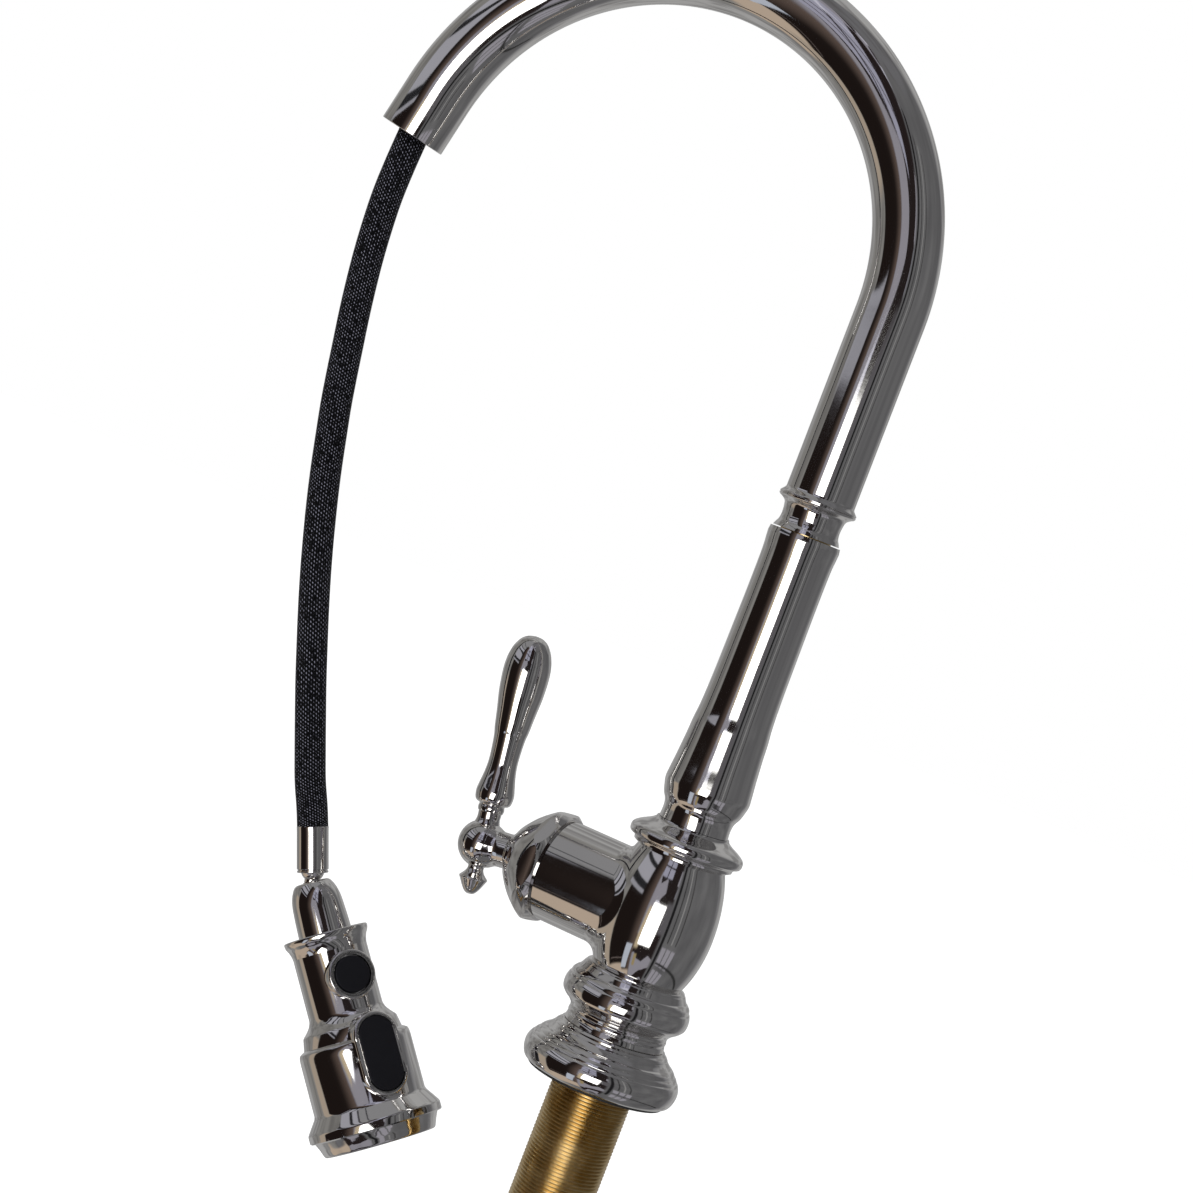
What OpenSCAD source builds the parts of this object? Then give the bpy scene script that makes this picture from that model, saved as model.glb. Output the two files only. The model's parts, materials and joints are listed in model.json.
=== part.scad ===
// Pull-down kitchen faucet: turned body with a side lever valve, a swivelling gooseneck spout
// and a spray head on a braided hose.
// Millimetres. Origin: centre of the base on the deck plane. +Z up the body axis, the valve along -X.

/* [Deck mount] */
// Outside radius of the threaded shank
shank_r = 16.5; // [15:0.25:18]
// Wall thickness of the shank
shank_wall = 3; // [2:0.5:4]
// Length of the shank below the deck
shank_below = 75; // [60:1:100]
// Thickness of the rubber gasket under the base
gasket_t = 1; // [0.8:0.1:2]
// Largest radius of the base flange
flange_r = 32.1; // [30:0.5:38]
// Height of the base flange above the gasket
flange_h = 20.2; // [18:0.1:24]

/* [Body] */
// Height of the turned body above the deck
body_h = 109; // [100:1:125]
// Radius of the body's rounded belly
belly_r = 23.3; // [22:0.1:25]
// Radius of the torus above the neck
torus_r = 26.1; // [24:0.25:29]
// Radius of the bead at the top of the body
bead_r = 23.5; // [22:0.25:27]
// Radius of the hose passage through the body
passage_r = 7.5; // [7:0.1:8]
// Offset of the hose passage from the body axis
passage_x = 3; // [2.5:0.1:3.5]

/* [Column] */
// Radius of the column at its top
column_r = 14.6; // [14:0.1:17]
// Radius of the column's swelling
swell_r = 17.6; // [16:0.1:20]
// Length of the column, up to where the spout turns
column_len = 122.5; // [110:0.5:140]
// Inside radius of the column
column_bore_r = 11; // [10:0.25:11.5]

/* [Spout] */
// Outside radius of the spout tube
spout_r = 14.15; // [13.5:0.05:15.5]
// Wall thickness of the spout tube
spout_wall = 1.2; // [1:0.1:1.8]
// Straight length of the riser between its collar and the arch
riser_len = 75.2; // [50:0.2:110]
// Centre-line radius of the arch
arc_r = 106; // [90:1:125]
// Angle the arch turns through
arc_deg = 167; // [150:1:175]
// Straight length at the outlet end
mouth_len = 20; // [14:1:28]
// Angle the spout is turned away from the valve
spout_turn = 9.24; // [0:0.01:20]
// Outside radius of the sleeve that turns in the column
sleeve_r = 10.5; // [10:0.1:11]

/* [Valve] */
// Height of the valve axis above the deck
valve_z = 71.1; // [69:0.1:74]
// Outside radius of the valve barrel
barrel_r = 20.9; // [20.6:0.1:22]
// Distance from the body axis to the end of the barrel
barrel_end = 47.4; // [46:0.1:52]
// Distance across the flats of the eight-sided nut
nut_flats = 44.5; // [43:0.25:48]
// Length of the eight-sided nut
nut_len = 12; // [10:0.5:15]
// Radius of the valve cartridge
cartridge_r = 17.5; // [17:0.1:17.8]

/* [Lever] */
// Lean of the lever from upright
lever_lean = 7; // [0:0.5:10]
// Distance from the tilt pivot to the centre of the lever ball
ball_reach = 23.2; // [22:0.2:30]
// Radius of the lever ball
ball_r = 9.9; // [9:0.1:12]
// Radius of the lever stem
lever_stem_r = 7.2; // [6.5:0.1:7.4]
// Length of the handle from the ball's centre to its tip
handle_len = 87.2; // [75:0.2:100]
// Radius of the widest part of the handle
handle_r = 9.65; // [8:0.05:12]
// Length of the finial from the ball's centre to its tip
finial_len = 21; // [18:0.5:26]

/* [Hose] */
// Outside radius of the braided hose
hose_r = 6.4; // [6:0.1:6.6]
// Radius of the hose ferrule
ferrule_r = 6.5; // [6.3:0.05:7]
// Length of the ferrule above the ball joint
ferrule_len = 16.4; // [14:0.2:20]
// Radius of the ball at the hose end
joint_ball_r = 4.9; // [4.6:0.05:5.1]
// Angle between the ferrule and the spray head
ferrule_bend = 15.8; // [12:0.1:17]

/* [Spray head] */
// Radius of the docking plug at its base
plug_r = 10.9; // [10.5:0.1:11.5]
// Length of the docking plug
plug_len = 21.5; // [18:0.5:24]
// Radius of the docking rim
rim_r = 17.3; // [16:0.1:19]
// Radius of the grip
grip_r = 15.3; // [15:0.1:16.5]
// Radius of the bell
bell_r = 23; // [22:0.1:25]
// Radius of the bell's flared rim
flare_r = 27.4; // [26:0.1:30]
// Length of the head from the plug's top to the spray face
head_len = 108.5; // [105:0.5:112]
// Radius of the round button
button_r = 7.1; // [6.5:0.05:8]
// Length of the oval pad
pad_len = 30.2; // [26:0.2:32]
// Width of the oval pad
pad_w = 17.6; // [15:0.1:20]
// Direction the button and the pad face around the head
button_az = -47; // [-90:1:90]

/* [Fits] */
// Radial running clearance of the turning shafts
run_gap = 0.05; // [0.02:0.01:0.1]
// Clearance between curved parts that move past each other
sweep_gap = 0.3; // [0.2:0.05:0.5]
// Radial clearance of the lever stem's peg in its hole
peg_gap = 0.05; // [0.02:0.01:0.1]

/* [Hidden] */
$fn = 64;
e = 0.01;

// Colours
steel = [0.8, 0.8, 0.8];
brass = [0.78, 0.6, 0.32];
black = [0.05, 0.05, 0.06];
rubber = [0.1, 0.1, 0.1];
nylon = [0.85, 0.85, 0.82];

// Derived sizes: base and body
shank_bore = shank_r - shank_wall;
shank_top = 33;
pilot_r = shank_r - 0.3;
flange_top = gasket_t + flange_h;
recess_r = flange_r - 7.1;
recess_top = gasket_t + 5;
cavity_r = shank_bore + 2;
cavity_top = 46;
tube_x = -9.4;
tube_below = 108;
tube_r = 3.5;
tube_seat = 5;
chamber_end = 17;
port_r = 2.6;
supply_x = -6.5;
supply_y = 10;
supply_r = 3;
socket_r = 12.5;
socket_deep = 9;

// Derived sizes: column and swivel
column_top = body_h + column_len;
liner_r = column_r - 2.4;
liner_z = column_top - 35.5;
low_ring_z = liner_z + 4;
top_ring_z = column_top - 9.5;
ring_h = 8;
seal_z = column_top - 16.5;
clip_z = low_ring_z - 2;
sleeve_bore = 9;
collar_z = column_top + 0.5;
collar_h = 16.3;
spout_in = spout_r - spout_wall;
collar_top = collar_z + collar_h;
riser_top = collar_top + riser_len;
sleeve_top = collar_z + 8;

// Derived sizes: valve
nut_start = barrel_end + 0.6;
nut_end = nut_start + nut_len;
nose_r = cartridge_r + 2.5;
nose_end = nut_start + 8;
chamber_r = cartridge_r + 0.1;
pivot_x = nut_end;
neck_end = ball_reach - ball_r - 0.8;
skirt_r = 12;
dome_in = skirt_r + sweep_gap;
dome_hole = lever_stem_r + 2.8;
cart_start = chamber_end + 0.5;
cart_end = barrel_end - 7.4;
retainer_end = barrel_end - 1.4;
spindle_r = 5;
tongue_t = 6;
tongue_r = 4;
pin_r = 1.5;
peg_r = 2.9;

// Derived sizes: head, measured down from the plug's top
ball_up = 4.8;
ball_side = 1.8;
collar_end = plug_len + 7.5;
spigot_r = grip_r - 2.8;
spigot_end = plug_len + 9.5;
stem_r = 3.5;
barrel_bore = 5;
disc_r = 7.5;
head_bore = 8.5;
disc_s = 10;
disc_t = 3;
nut_s = disc_s + disc_t + 0.1;
head_k = head_len / 108.5;
cone_s = 60 * head_k;
band_s = 66 * head_k;
flare_s = 93 * head_k;
rim_s = 99 * head_k;
skirt_s = 102 * head_k;
grip_in = grip_r - 2;
button_s = plug_len + 19;
boss_r = button_r + 3.1;
boss_top = grip_r + 1.2;
button_top = boss_top + 0.4;
button_t = 3.4;
button_floor = button_top - button_t - 1.6;
push_r = 2.5;
pad_s = 73.9 * head_k;
pad_boss_w = pad_w + 4.2;
pad_boss_len = pad_len + 4.4;
pad_boss_top = bell_r + 1.7;
pad_top = pad_boss_top + 0.3;
pad_t = 3;
pad_floor = pad_top - pad_t - 2.2;
pad_pin_r = 1;
pad_pin_half = pad_boss_w / 2 - 0.6;
bell_in = bell_r - 2.6;
ring_r = flare_r - 3.4;
face_r = ring_r - 3;
core_r = 6.5;
core_bore = 3.5;

// Pulled-out pose, in the spout's plane: u outwards, then height
joint_u = 141.3;
joint_z = 33.1;
head_lean = 37.8;
ferrule_lean = head_lean - ferrule_bend;

// Where the outlet is, and the hinge that carries the hose end up into it
out_u = arc_r * (1 - cos(arc_deg)) + mouth_len * sin(arc_deg);
out_z = riser_top + arc_r * sin(arc_deg) + mouth_len * cos(arc_deg);

// Hose routes, [u, height]: below the shank and up the body, up the spout, and out to the ferrule
low_route = [[5, -80], [5, -50], [5, -10], [4.8, 25], [3.2, 46], [3, 60], [3, 80], [3, 96],
    [2.2, 115], [0.6, 145], [0, 170], [0, 200], [0, column_top + 0.5]];
loop_route = [[5, -80], [5, -84], [5.6, -95], [12, -128], [32, -172], [50, -212], [55.6, -250], [46, -283],
    [24, -303], [-2.4, -309], [-29, -302], [-51, -282], [-60.4, -250], [-55, -212], [-38, -172],
    [-18, -138], [-9.4, -112]];
far_u = arc_r * (1 - cos(150));
far_z = riser_top + arc_r * sin(150);
spout_route = concat([[0, column_top + 0.5], [0, column_top + 30], [0, riser_top - 30]],
    [for (a = [0:15:135]) [arc_r * (1 - cos(a)), riser_top + arc_r * sin(a)]],
    [[far_u, far_z], [out_u - 3.6, out_z + 24], [out_u - 1.2, out_z + 8], [out_u - 0.4, out_z]]);
ferrule_u = joint_u + ferrule_len * sin(ferrule_lean);
ferrule_z = joint_z + ferrule_len * cos(ferrule_lean);
hose_end_u = ferrule_u + 0.6 * sin(ferrule_lean);
hose_end_z = ferrule_z + 0.6 * cos(ferrule_lean);
free_route = [[out_u - 0.4, out_z], [214.2, 314.9], [214.6, 301.6], [214.1, 288.7], [213.1, 275.9],
    [211.6, 263.2], [209.8, 250.7], [207.7, 238.3], [205.6, 225.9], [203.3, 213.5], [200.6, 201.3],
    [197.8, 189.1], [194.7, 176.9], [190.8, 163], [186.4, 148.5], [181.6, 134], [176.4, 119.3],
    [171, 104.5], [165.3, 89.8], [160.8, 78.4], [156, 66.6], [151.3, 57], [hose_end_u, hose_end_z]];

// A smooth curve through the points p, with n steps between neighbours
function at(p, i) = p[max(0, min(len(p) - 1, i))];
function mid(a, b, c, d, t) = 0.5 * (2 * b + (c - a) * t + (2 * a - 5 * b + 4 * c - d) * t * t
    + (3 * b - a - 3 * c + d) * t * t * t);
function smooth(p, n) = concat([for (i = [0:len(p) - 2]) for (k = [0:n - 1])
    mid(at(p, i - 1), at(p, i), at(p, i + 1), at(p, i + 2), k / n)], [p[len(p) - 1]]);

// A closed tube of radius r along the flat route p, with n sides
function heading(p, i) = at(p, i + 1) - at(p, i - 1);
function ring_at(p, i, r, n) = [for (k = [0:n - 1]) let (h = heading(p, i) / norm(heading(p, i)),
    c = r * cos(360 * k / n), s = r * sin(360 * k / n)) [-p[i][0] + c * h[1], s, p[i][1] + c * h[0]]];
module hose_along(p, r) {
    n = 12;
    m = len(p);
    rr = r / sqrt(cos(180 / n));
    pts = [for (i = [0:m - 1]) each ring_at(p, i, rr, n)];
    sides = [for (i = [0:m - 2]) for (k = [0:n - 1])
        [i * n + k, i * n + (k + 1) % n, (i + 1) * n + (k + 1) % n, (i + 1) * n + k]];
    polyhedron(pts, concat(sides, [[for (k = [0:n - 1]) n - 1 - k],
        [for (k = [0:n - 1]) (m - 1) * n + k]]));
}

// Plain solids: a rod and a ring between two heights, and a turned solid from its outline
module rod(r, a, b) {
    translate([0, 0, a]) cylinder(r = r, h = b - a);
}
module ring(ro, ri, a, b) {
    difference() {
        rod(ro, a, b);
        rod(ri, a - 1, b + 1);
    }
}
module turned(p) {
    last = p[len(p) - 1];
    rotate_extrude() polygon(concat([[0, p[0][1]]], p, [[0, last[1]]]));
}
module hoop(rc, rs, z) {
    translate([0, 0, z]) rotate_extrude() translate([rc, 0]) circle(r = rs, $fn = 24);
}

// Places: along the valve, the leaning lever, the spout's plane and the spray head
module on_valve() {
    translate([0, 0, valve_z]) rotate([0, -90, 0]) children();
}
module on_lever() {
    translate([-pivot_x, 0, valve_z]) rotate([0, -lever_lean, 0]) children();
}
module on_ball() {
    on_lever() translate([-ball_reach, 0, 0]) children();
}
module on_spout() {
    rotate([0, 0, spout_turn]) children();
}
module on_joint(lean) {
    on_spout() translate([-joint_u, 0, joint_z]) rotate([0, -lean, 0]) children();
}
module in_head() {
    on_joint(head_lean) translate([-ball_side, 0, -ball_up]) rotate([180, 0, 0]) children();
}
module on_head_side(s) {
    rotate([0, 0, -button_az]) translate([0, 0, s]) rotate([0, 90, 0]) children();
}

module pad_pin_at() {
    translate([0, 0, pad_top - pad_t - 0.4]) rotate([90, 0, 0]) children();
}

// An oval bar standing on the XY plane: its length along X
module oval(w, l, a, b) {
    for (x = [-1, 1]) translate([x * (l - w) / 2, 0, 0]) rod(w / 2, a, b);
    translate([-(l - w) / 2, -w / 2, a]) cube([l - w, w, b - a]);
}

module threaded_shank() {
    color(brass) difference() {
        union() {
            rod(shank_r, -shank_below, recess_top - 0.2);
            rod(pilot_r, recess_top - 0.2 - e, shank_top);
        }
        rod(shank_bore, -shank_below - 1, shank_top + 1);
    }
}

module base_gasket() {
    color(rubber) ring(recess_r + 3.4, recess_r, 0, gasket_t);
}

module base_flange() {
    k = flange_r / 32.1;
    f = flange_h / 20.2;
    outline = [for (p = concat(smooth([[29, 0], [30.4, 0.8], [31.5, 3], [32.1, 6], [32, 7.8],
        [31.2, 9.6], [30.4, 10.4]], 2), smooth([[30.3, 10.7], [30.1, 11.6], [29.3, 12.2]], 2),
        smooth([[28.6, 12.6], [28.4, 13.6], [27.7, 14.4], [26.2, 15.4], [24.9, 16.6]], 2),
        smooth([[24.5, 17.2], [24.3, 18], [23.6, 18.6], [22.4, 19.3], [21.8, 20.2]], 2)))
        [k * p[0], gasket_t + f * p[1]]];
    color(steel) difference() {
        turned(outline);
        rod(recess_r, gasket_t - 1, recess_top);
        rod(shank_r + 0.2, gasket_t, flange_top + 1);
    }
}

module body_outline() {
    b = belly_r / 23.3;
    t = torus_r / 26.1;
    d = bead_r / 23.5;
    top = body_h - 109;
    turned(concat([[20.7, flange_top], [20.4, 22.6]],
        smooth([[20.4, 24.5], [20.6, 27.4], [22.4 * t, 29.3], [24 * t, 30.4], [25.7 * t, 32.2],
            [26.1 * t, 34.3], [25.95 * t, 36.5], [25.2 * t, 39], [23.4 * t, 42], [20.9, 45.2]], 2),
        smooth([[18.2 * b, 46], [20.3 * b, 50], [21.9 * b, 55], [22.9 * b, 61], [23.3 * b, 69],
            [22.9 * b, 77], [21.7 * b, 84], [19.8 * b, 91], [18.3 * b, 96]], 2),
        smooth([[20.5, 97.2 + top], [21, 98.7 + top], [23 * d, 99.7 + top], [23.5 * d, 101.4 + top],
            [23 * d, 103.2 + top], [20.8, 104.9 + top], [17.6, 106.6 + top], [15.6, 108 + top],
            [15.1, body_h]], 2)));
}
module body_ports() {
    rod(pilot_r, flange_top - 1, shank_top);
    rod(cavity_r, shank_top - e, cavity_top);
    translate([passage_x, 0, 0]) rod(passage_r, cavity_top - e, body_h - socket_deep + e);
    rod(socket_r, body_h - socket_deep, body_h + 1);
    translate([tube_x, 0, 0]) rod(tube_r, cavity_top - e, cavity_top + tube_seat);
    translate([tube_x, 0, 0]) rod(port_r, cavity_top + tube_seat - e, valve_z - 6);
    for (y = [-1, 1]) translate([supply_x, y * supply_y, 0]) rod(supply_r, cavity_top - e, valve_z + 5);
    on_valve() {
        rod(chamber_r, chamber_end, nose_end + 1);
        translate([-6, 0, 0]) rod(port_r, -tube_x - 1, chamber_end + e);
        for (y = [-1, 1]) translate([4, y * 9, 0]) rod(port_r, -supply_x - 1, chamber_end + e);
    }
}
module body_casting() {
    color(steel) difference() {
        union() {
            body_outline();
            on_valve() {
                turned([[barrel_r - 0.6, 0], [barrel_r, 2], [barrel_r, barrel_end - 0.6],
                    [barrel_r - 0.6, barrel_end]]);
                rod(nose_r, barrel_end - 1, nose_end);
            }
            intersection() {
                rod(belly_r + 3, valve_z - 28, valve_z + 28);
                on_valve() turned(smooth([[barrel_r + 5, 20.2], [barrel_r + 4.4, 22.5],
                    [barrel_r + 2.3, 24.2], [barrel_r + 0.9, 26], [barrel_r + 0.1, 28.5],
                    [barrel_r - 0.2, 31]], 2));
            }
        }
        body_ports();
    }
}

module column() {
    s = swell_r / 17.6;
    c = column_r / 14.6;
    h = column_len / 122.5;
    outline = [for (p = smooth([[14.4 * c, 0], [14.2 * c, 2.8], [14.3 * c, 5], [14.8 * c, 7], [16.1 * s, 9.4],
        [16.9 * s, 12], [17.6 * s, 15.2], [17.4 * s, 18.6], [16.8 * s, 24.7], [16.4 * s, 29.7],
        [16 * s, 35], [15.7 * c, 40.7], [15.2 * c, 45.7], [14.9 * c, 51], [14.6 * c, 60],
        [14.4 * c, 76], [14.2 * c, 96], [14.25 * c, 112], [14.6 * c, 117.5], [14.8 * c, 120.5],
        [14.5 * c, 122.5]], 2)) [p[0], body_h + h * p[1]]];
    color(steel) difference() {
        union() {
            turned(outline);
            rod(socket_r, body_h - socket_deep + 0.2, body_h + 1);
        }
        rod(column_bore_r, body_h - socket_deep, liner_z + 1);
        rod(liner_r, liner_z, column_top + 1);
    }
}

module swivel_rings() {
    color(nylon) {
        ring(liner_r, sleeve_r + run_gap, low_ring_z, low_ring_z + ring_h);
        ring(liner_r, sleeve_r + run_gap, top_ring_z, top_ring_z + ring_h);
    }
}

module outlet_tube() {
    color(brass) translate([tube_x, 0, 0]) ring(tube_r, 2.5, -tube_below, cavity_top + tube_seat);
}

module hose_connector() {
    color(brass) translate([tube_x, 0, 0]) difference() {
        union() {
            rod(7.2, -tube_below - 4, 10 - tube_below);
            rod(5.4, 10 - tube_below - e, 16 - tube_below);
        }
        rod(hose_r + 0.1, -tube_below - 5, -tube_below);
        rod(tube_r, -tube_below - e, 17 - tube_below);
    }
}

module hose_loop() {
    mirrored = [for (p = smooth(loop_route, 3)) [-p[0], p[1]]];
    color(black) hose_along(mirrored, hose_r);
}

module hose_inner_body() {
    mirrored = [for (p = smooth(low_route, 2)) [-p[0], p[1]]];
    color(black) hose_along(mirrored, hose_r);
}

module cartridge_body() {
    color(nylon) on_valve() difference() {
        rod(cartridge_r, cart_start, cart_end);
        rod(spindle_r + run_gap, cart_start + 11, cart_end + 1);
        translate([-6, 0, 0]) rod(port_r, cart_start - 1, cart_start + 6);
        for (y = [-1, 1]) translate([4, y * 9, 0]) rod(port_r, cart_start - 1, cart_start + 6);
    }
}

module cartridge_seals() {
    color(rubber) on_valve() {
        translate([-6, 0, 0]) ring(4, port_r, chamber_end, cart_start);
        for (y = [-1, 1]) translate([4, y * 9, 0]) ring(4, port_r, chamber_end, cart_start);
    }
}

module cartridge_retainer() {
    color(brass) on_valve() ring(chamber_r, 10.5, cart_end, retainer_end);
}

module valve_bonnet() {
    k = nut_flats / 44.5;
    color(steel) on_valve() difference() {
        intersection() {
            translate([0, 0, nut_start]) rotate([0, 0, 22.5])
                cylinder(r = nut_flats / 2 / cos(22.5), h = nut_len + 10, $fn = 8);
            turned(concat([[21.6 * k, nut_start], [22.4 * k, nut_start + 0.8]],
                smooth([[23.8 * k, nut_start + 2.9], [23.9 * k, nut_start + 3.6], [23.4 * k, nut_end - 6.6],
                [22.25 * k, nut_end - 5.1], [21 * k, nut_end - 3], [19.3 * k, nut_end - 0.8],
                [17.4, nut_end + 1.5], [15.2, nut_end + 3.8], [12.9, nut_end + 5.7],
                [11.2, nut_end + 6.9], [10.3, nut_end + 7.5]], 2)));
        }
        rod(nose_r, nut_start - 1, nose_end + 0.2);
        rod(dome_in + 1.5, nose_end, nut_end - 2);
        rod(dome_in, nut_end - 2 - e, nut_end);
        translate([0, 0, nut_end]) sphere(r = dome_in);
        rod(dome_hole, nut_end, nut_end + 20);
    }
}

module cartridge_spindle() {
    color(steel) {
        difference() {
            union() {
                on_valve() rod(spindle_r, cart_start + 12, pivot_x - 8.5);
                on_valve() rod(8.8, retainer_end + 0.4, pivot_x - 8.5);
                translate([-pivot_x, -tongue_t / 2, valve_z - tongue_r]) cube([10, tongue_t, 2 * tongue_r]);
                translate([-pivot_x, tongue_t / 2, valve_z]) rotate([90, 0, 0])
                    cylinder(r = tongue_r, h = tongue_t);
            }
            translate([-pivot_x, 10, valve_z]) rotate([90, 0, 0]) cylinder(r = pin_r + run_gap, h = 20);
        }
    }
}

module tilt_ball() {
    color(steel) on_lever() difference() {
        union() {
            difference() {
                sphere(r = skirt_r);
                translate([5.5, -20, -20]) cube([20, 40, 40]);
            }
            rotate([0, -90, 0]) rod(lever_stem_r, 8, neck_end);
        }
        translate([-5, -tongue_t / 2 - sweep_gap, -11]) cube([20, tongue_t + 2 * sweep_gap, 22]);
        translate([0, 20, 0]) rotate([90, 0, 0]) cylinder(r = pin_r, h = 40);
        rotate([0, -90, 0]) rod(peg_r + peg_gap, neck_end - 3, neck_end + 1);
    }
}

module lever_stem() {
    color(steel) on_lever() rotate([0, -90, 0]) difference() {
        union() {
            rod(peg_r, neck_end - 3, neck_end + 1);
            rod(lever_stem_r, neck_end, ball_reach - ball_r + 0.3);
            turned([[lever_stem_r, neck_end + 0.5], [lever_stem_r + 0.4, neck_end + 1.6],
                [lever_stem_r + 1.4, neck_end + 3.2], [4, ball_reach - 4]]);
        }
        translate([0, 0, ball_reach]) sphere(r = ball_r);
    }
}

module lever_pin() {
    color(steel) on_lever() translate([0, 11, 0]) rotate([90, 0, 0]) cylinder(r = pin_r, h = 22);
}

module lever_ball() {
    color(steel) on_ball() difference() {
        sphere(r = ball_r);
        rod(3, 0, ball_r + 1);
        rod(3, -ball_r - 1, 0);
    }
}

module lever_handle() {
    k = handle_r / 9.65;
    h = (handle_len - 9.6) / 76.9;
    outline = [for (p = concat(smooth([[5.2, 9.2], [4.75, 10.4], [4.7, 12], [4.8, 13.2]], 2),
        smooth([[5.3, 13.6], [5.45, 14.8], [5.3, 16]], 2), smooth([[5.5, 16.4], [7, 17.4], [7.7, 18.6],
        [7.9, 21.2], [7.3, 24.5], [6.7, 27.8], [6.1, 31.1], [5.95, 34.5], [6.1, 39.5],
        [6.5, 44.4], [7.1, 47.7], [7.9, 54.4], [9, 61], [9.45, 66], [9.65, 71], [9.4, 75],
        [8.8, 78], [7.7, 81.2], [5.6, 84.3], [3, 86], [0.4, 86.5]], 2)))
        [k * p[0], 9.6 + h * (p[1] - 9.6)]];
    color(steel) on_ball() {
        intersection() {
            turned(outline);
            difference() {
                rod(20, 0, handle_len + 10);
                sphere(r = ball_r);
            }
        }
        rod(3, ball_r - 6, ball_r + 3);
    }
}

module lever_finial() {
    h = (finial_len - 9) / 12;
    outline = [for (p = concat(smooth([[3.5, 8.6], [3.3, 9.8], [3.5, 11], [4.3, 12.4], [5.8, 14]], 2),
        smooth([[5.9, 14.5], [4.9, 16.2], [3.8, 18.2], [2.6, 19.9], [1.4, 20.8], [0.3, 21]], 2)))
        [p[0], 9 + h * (p[1] - 9)]];
    color(steel) on_ball() rotate([180, 0, 0]) {
        difference() {
            turned(outline);
            sphere(r = ball_r);
        }
        rod(3, ball_r - 6, ball_r + 2);
    }
}

module spout_collar() {
    top = collar_z + collar_h;
    color(steel) difference() {
        turned(concat(smooth([[13.8, collar_z], [13.2, collar_z + 1.4], [12.4, collar_z + 3],
            [12.1, collar_z + 5.5], [12.4, collar_z + 8.6], [13, collar_z + 10.4],
            [14.6, collar_z + 11.6]], 2),
            smooth([[15.4, collar_z + 12], [15.9, collar_z + 12.9], [15.8, collar_z + 13.8],
            [14.9, collar_z + 14.8], [14.3, collar_z + 15.6], [spout_r, top]], 2)));
        rod(sleeve_r, collar_z - 1, sleeve_top);
        rod(sleeve_bore, collar_z, top + 1);
        rod(spout_in - 0.5, top - 3, top + 1);
    }
}

module swivel_sleeve() {
    color(brass) difference() {
        ring(sleeve_r, sleeve_bore, clip_z - 3, sleeve_top);
        ring(sleeve_r + 1, sleeve_r - 0.4, seal_z - 1, seal_z + 1);
        ring(sleeve_r + 1, sleeve_r - 0.6, clip_z, clip_z + 1.2);
    }
}

module swivel_seal() {
    rs = (liner_r - run_gap - sleeve_r + 0.4) / 2;
    color(rubber) hoop(sleeve_r - 0.4 + rs, rs - 0.02, seal_z);
}

module sleeve_clip() {
    color(steel) ring(liner_r - 0.3, sleeve_r - 0.6, clip_z, clip_z + 1.2);
}

module spout_tube() {
    color(steel) on_spout() {
        ring(spout_r, spout_in, collar_top, riser_top);
        translate([-arc_r, 0, riser_top]) rotate([90, 0, 0])
            rotate_extrude(angle = arc_deg) translate([arc_r, 0]) difference() {
                circle(r = spout_r);
                circle(r = spout_in);
            }
    }
}

module spout_mouth() {
    color(steel) on_spout() translate([-arc_r, 0, riser_top]) rotate([90, 0, 0])
        rotate([0, 0, arc_deg]) translate([arc_r, 0, 0]) rotate([-90, 0, 0])
            ring(spout_r, spout_in, 0, mouth_len);
}

module hose_guide() {
    color(nylon) on_spout() translate([-arc_r, 0, riser_top]) rotate([90, 0, 0])
        rotate([0, 0, 122]) rotate_extrude(angle = 12) translate([arc_r, 0]) difference() {
            circle(r = spout_in);
            circle(r = hose_r + 1.2);
        }
}

module hose_inner_spout() {
    color(black) on_spout() hose_along(smooth(spout_route, 3), hose_r);
}

module hose_free() {
    color(black) on_spout() hose_along(smooth(free_route, 2), hose_r);
}

module hose_ferrule() {
    color(steel) on_joint(ferrule_lean) difference() {
        turned([[ferrule_r - 0.5, -1.2], [ferrule_r, -0.7], [ferrule_r, 2.4], [ferrule_r - 0.3, 2.8],
            [ferrule_r - 0.3, 3.4], [ferrule_r, 3.8], [ferrule_r, ferrule_len - 0.5],
            [ferrule_r - 0.3, ferrule_len]]);
        sphere(r = joint_ball_r + sweep_gap);
        translate([0, 0, -2]) cylinder(r1 = 5.4, r2 = 4.2, h = 1.6);
        rod(4.2, -0.5, 0);
    }
}

module swivel_stem() {
    color(steel) in_head() difference() {
        union() {
            translate([ball_side, 0, -ball_up]) sphere(r = joint_ball_r);
            translate([ball_side, 0, -ball_up]) rotate([0, -atan(ball_side / ball_up), 0])
                rod(stem_r - 0.5, 0, norm([ball_side, ball_up]) + 0.5);
            rod(stem_r, -0.6, 3);
            rod(barrel_bore, 3 - e, disc_s + 1);
            rod(disc_r, disc_s, disc_s + disc_t);
        }
        rod(1.8, 0, disc_s + disc_t + 1);
        sphere(r = 2.2);
        translate([ball_side, 0, -ball_up]) rotate([0, -atan(ball_side / ball_up), 0])
            rod(1.6, -10, norm([ball_side, ball_up]));
    }
}

module swivel_nut() {
    color(brass) in_head() ring(head_bore, 4, nut_s, nut_s + 5);
}

module head_plug() {
    k = plug_r / 10.9;
    h = plug_len / 21.5;
    outline = [for (p = smooth([[6.6, 0], [7.6, 0.7], [8.7, 2.6], [9.6, 5], [10.2, 8], [10.5, 12],
        [10.75, 17], [10.9, 21.5]], 2)) [k * p[0], h * p[1]]];
    color(steel) in_head() difference() {
        union() {
            turned(outline);
            rod(plug_r, plug_len - e, plug_len + 1.2);
            rod(spigot_r, plug_len + 1, spigot_end);
        }
        rod(stem_r + run_gap, -1, 3);
        rod(barrel_bore + run_gap, 2.9, disc_s);
        rod(head_bore, disc_s - 0.1, spigot_end + 1);
    }
}

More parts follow.
